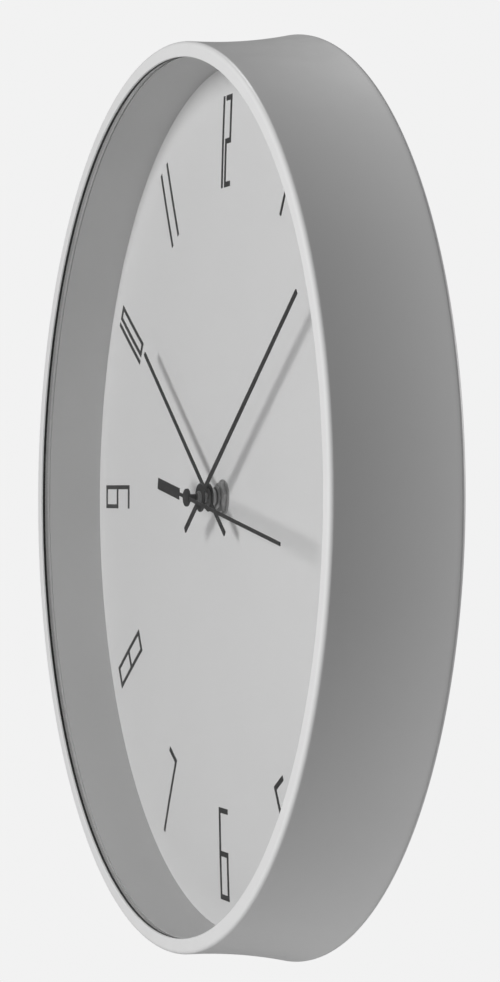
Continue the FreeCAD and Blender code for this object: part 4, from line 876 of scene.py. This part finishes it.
def make_knob(finish):
    """The setting wheel: a fluted edge with softened lands, and a hollow in its back."""
    front, back = depths("setting_knob")
    across, _, height = middle_of("setting_knob")
    radius = half_height_of("setting_knob")
    pitch = 360 / KNOB_FLUTES
    corner = 0.07

    def outline_at(angle):
        off_flute = (math.degrees(angle) + pitch / 2) % pitch - pitch / 2
        edge = radius - FLUTE_DEPTH * max(0.0, 1 - (off_flute / FLUTE_HALF_ANGLE) ** 2)
        return [
            (0.0, front), (edge - KNOB_EDGE, front), (edge - corner, front + corner),
            (edge, front + KNOB_EDGE), (edge, back - KNOB_EDGE), (edge - corner, back - corner),
            (edge - KNOB_EDGE, back), (KNOB_HOLLOW + KNOB_MOUTH, back), (KNOB_HOLLOW, back - KNOB_MOUTH),
            (KNOB_HOLLOW, back - KNOB_HOLLOW_DEPTH), (0.0, back - KNOB_HOLLOW_DEPTH),
        ]

    mesh = add_turned(bmesh.new(), outline_at, 24 * KNOB_FLUTES, (across, height))
    return piece_from(mesh, "fluted_knob", "setting_knob", finish)


# ---- stage, lamps and camera ----

def make_stage():
    """A pale round floor well below the clock, fading out before it ends."""
    mesh = bmesh.new()
    bmesh.ops.create_circle(mesh, cap_ends=True, radius=FLOOR_RADIUS, segments=128)
    data = bpy.data.meshes.new("studio_floor")
    mesh.to_mesh(data)
    mesh.free()
    floor = bpy.data.objects.new("studio_floor", data)
    bpy.context.scene.collection.objects.link(floor)
    floor.location = (0.0, 0.0, CASE_LOW.z - FLOOR_BELOW)
    material, tree, shader = new_material("floor_paper")
    shader.inputs["Base Color"].default_value = (0.9, 0.9, 0.9, 1.0)
    shader.inputs["Roughness"].default_value = 0.9
    away = add_node(tree, "VectorMath", operation="LENGTH")
    tree.links.new(place_in(tree), away.inputs[0])
    shown = between(tree, away.outputs["Value"], 1.0, 0.0, FLOOR_FADE_START, FLOOR_FADE_END)
    tree.links.new(shown, shader.inputs["Alpha"])
    data.materials.append(material)


def make_world():
    """A pale surround as the camera sees it, and a dimmer one for the light that it gives."""
    world = bpy.data.worlds.new("studio")
    bpy.context.scene.world = world
    world.use_nodes = True
    tree = world.node_tree
    seen = tree.nodes["Background"]
    seen.inputs["Color"].default_value = (*grey(SURROUND_TONE), 1.0)
    fill = add_node(tree, "Background", {"Color": (1.0, 1.0, 1.0, 1.0), "Strength": FILL_STRENGTH})
    looked_at = add_node(tree, "LightPath").outputs["Is Camera Ray"]
    mix = add_node(tree, "MixShader")
    tree.links.new(looked_at, mix.inputs["Fac"])
    tree.links.new(fill.outputs[0], mix.inputs[1])
    tree.links.new(seen.outputs[0], mix.inputs[2])
    tree.links.new(mix.outputs[0], tree.nodes["World Output"].inputs["Surface"])


def add_lamp(name, direction, distance, size, power):
    """A soft round lamp that faces the middle of the dial from a direction."""
    lamp = bpy.data.lights.new(name, "AREA")
    lamp.shape = "DISK"
    lamp.size = size
    lamp.energy = power
    holder = bpy.data.objects.new(name, lamp)
    bpy.context.scene.collection.objects.link(holder)
    aim = at(0, 0, 0)
    away = Vector(direction).normalized()
    holder.location = aim + away * distance
    holder.rotation_euler = (-away).to_track_quat("-Z", "Y").to_euler()
    return holder


def make_lamps():
    """The key isn't mirrored by the glass, where it would hide the dial as seen from the front."""
    for name, direction, distance, size, power in LAMPS:
        lamp = add_lamp(name, direction, distance, size, power)
        lamp.visible_camera = False
        lamp.visible_glossy = name != "key"


def make_camera():
    """The camera at its place, turned by yaw and pitch and tilted by roll."""
    camera = bpy.data.objects.new("camera", bpy.data.cameras.new("camera"))
    bpy.context.scene.collection.objects.link(camera)
    camera.data.lens = CAMERA_LENS
    yaw, pitch, roll = (math.radians(a) for a in (CAMERA_YAW, CAMERA_PITCH, CAMERA_ROLL))
    ahead = Vector((-math.sin(yaw) * math.cos(pitch), math.cos(yaw) * math.cos(pitch), -math.sin(pitch)))
    side = ahead.cross(Vector((0, 0, 1))).normalized()
    up = side.cross(ahead)
    tilted_side = side * math.cos(roll) + up * math.sin(roll)
    tilted_up = up * math.cos(roll) - side * math.sin(roll)
    turn = Matrix((tilted_side, tilted_up, -ahead)).transposed().to_4x4()
    camera.matrix_world = Matrix.Translation(at(*CAMERA_PLACE)) @ turn
    bpy.context.scene.camera = camera


# ---- all together ----

finishes = {make.__name__: make() for make in FINISH_MAKERS}

make_case(finishes["case_satin"])
make_seal(finishes["seal_rubber"])
make_lens(finishes["lens_glass"])
# The wall's darker grey is painted shade, not a paint of its own.
make_inner_ring(finishes["ring_satin"])
make_dial(finishes["dial_satin"])
make_hour_hand(finishes["hand_black"])
make_minute_hand(finishes["hand_black"])
make_second_hand(finishes["hand_black"])
make_second_hub(finishes["hand_black"])
make_hand_collars(finishes["plated_nut"])
make_bush(finishes["plated_brass"])
make_nut(finishes["plated_nut"])
make_washer(finishes["plated_nut"])
make_rubber_washer(finishes["seal_rubber"])
make_battery(finishes["battery_jacket"])
make_coil(finishes["copper_wire"])
make_knob(finishes["knob_plastic"])
for soft_node, soft_width in SOFT_EDGES.items():
    slot_name = frame["nodes"][soft_node].material_slots[0].material.name
    softened(soft_node, finishes[slot_name], soft_width)

for cad_node in frame["nodes"].values():
    for material_slot in cad_node.material_slots:
        material_slot.material = finishes[material_slot.material.name]

make_stage()
make_world()
make_lamps()
make_camera()
bpy.context.scene.view_settings.view_transform = "Standard"
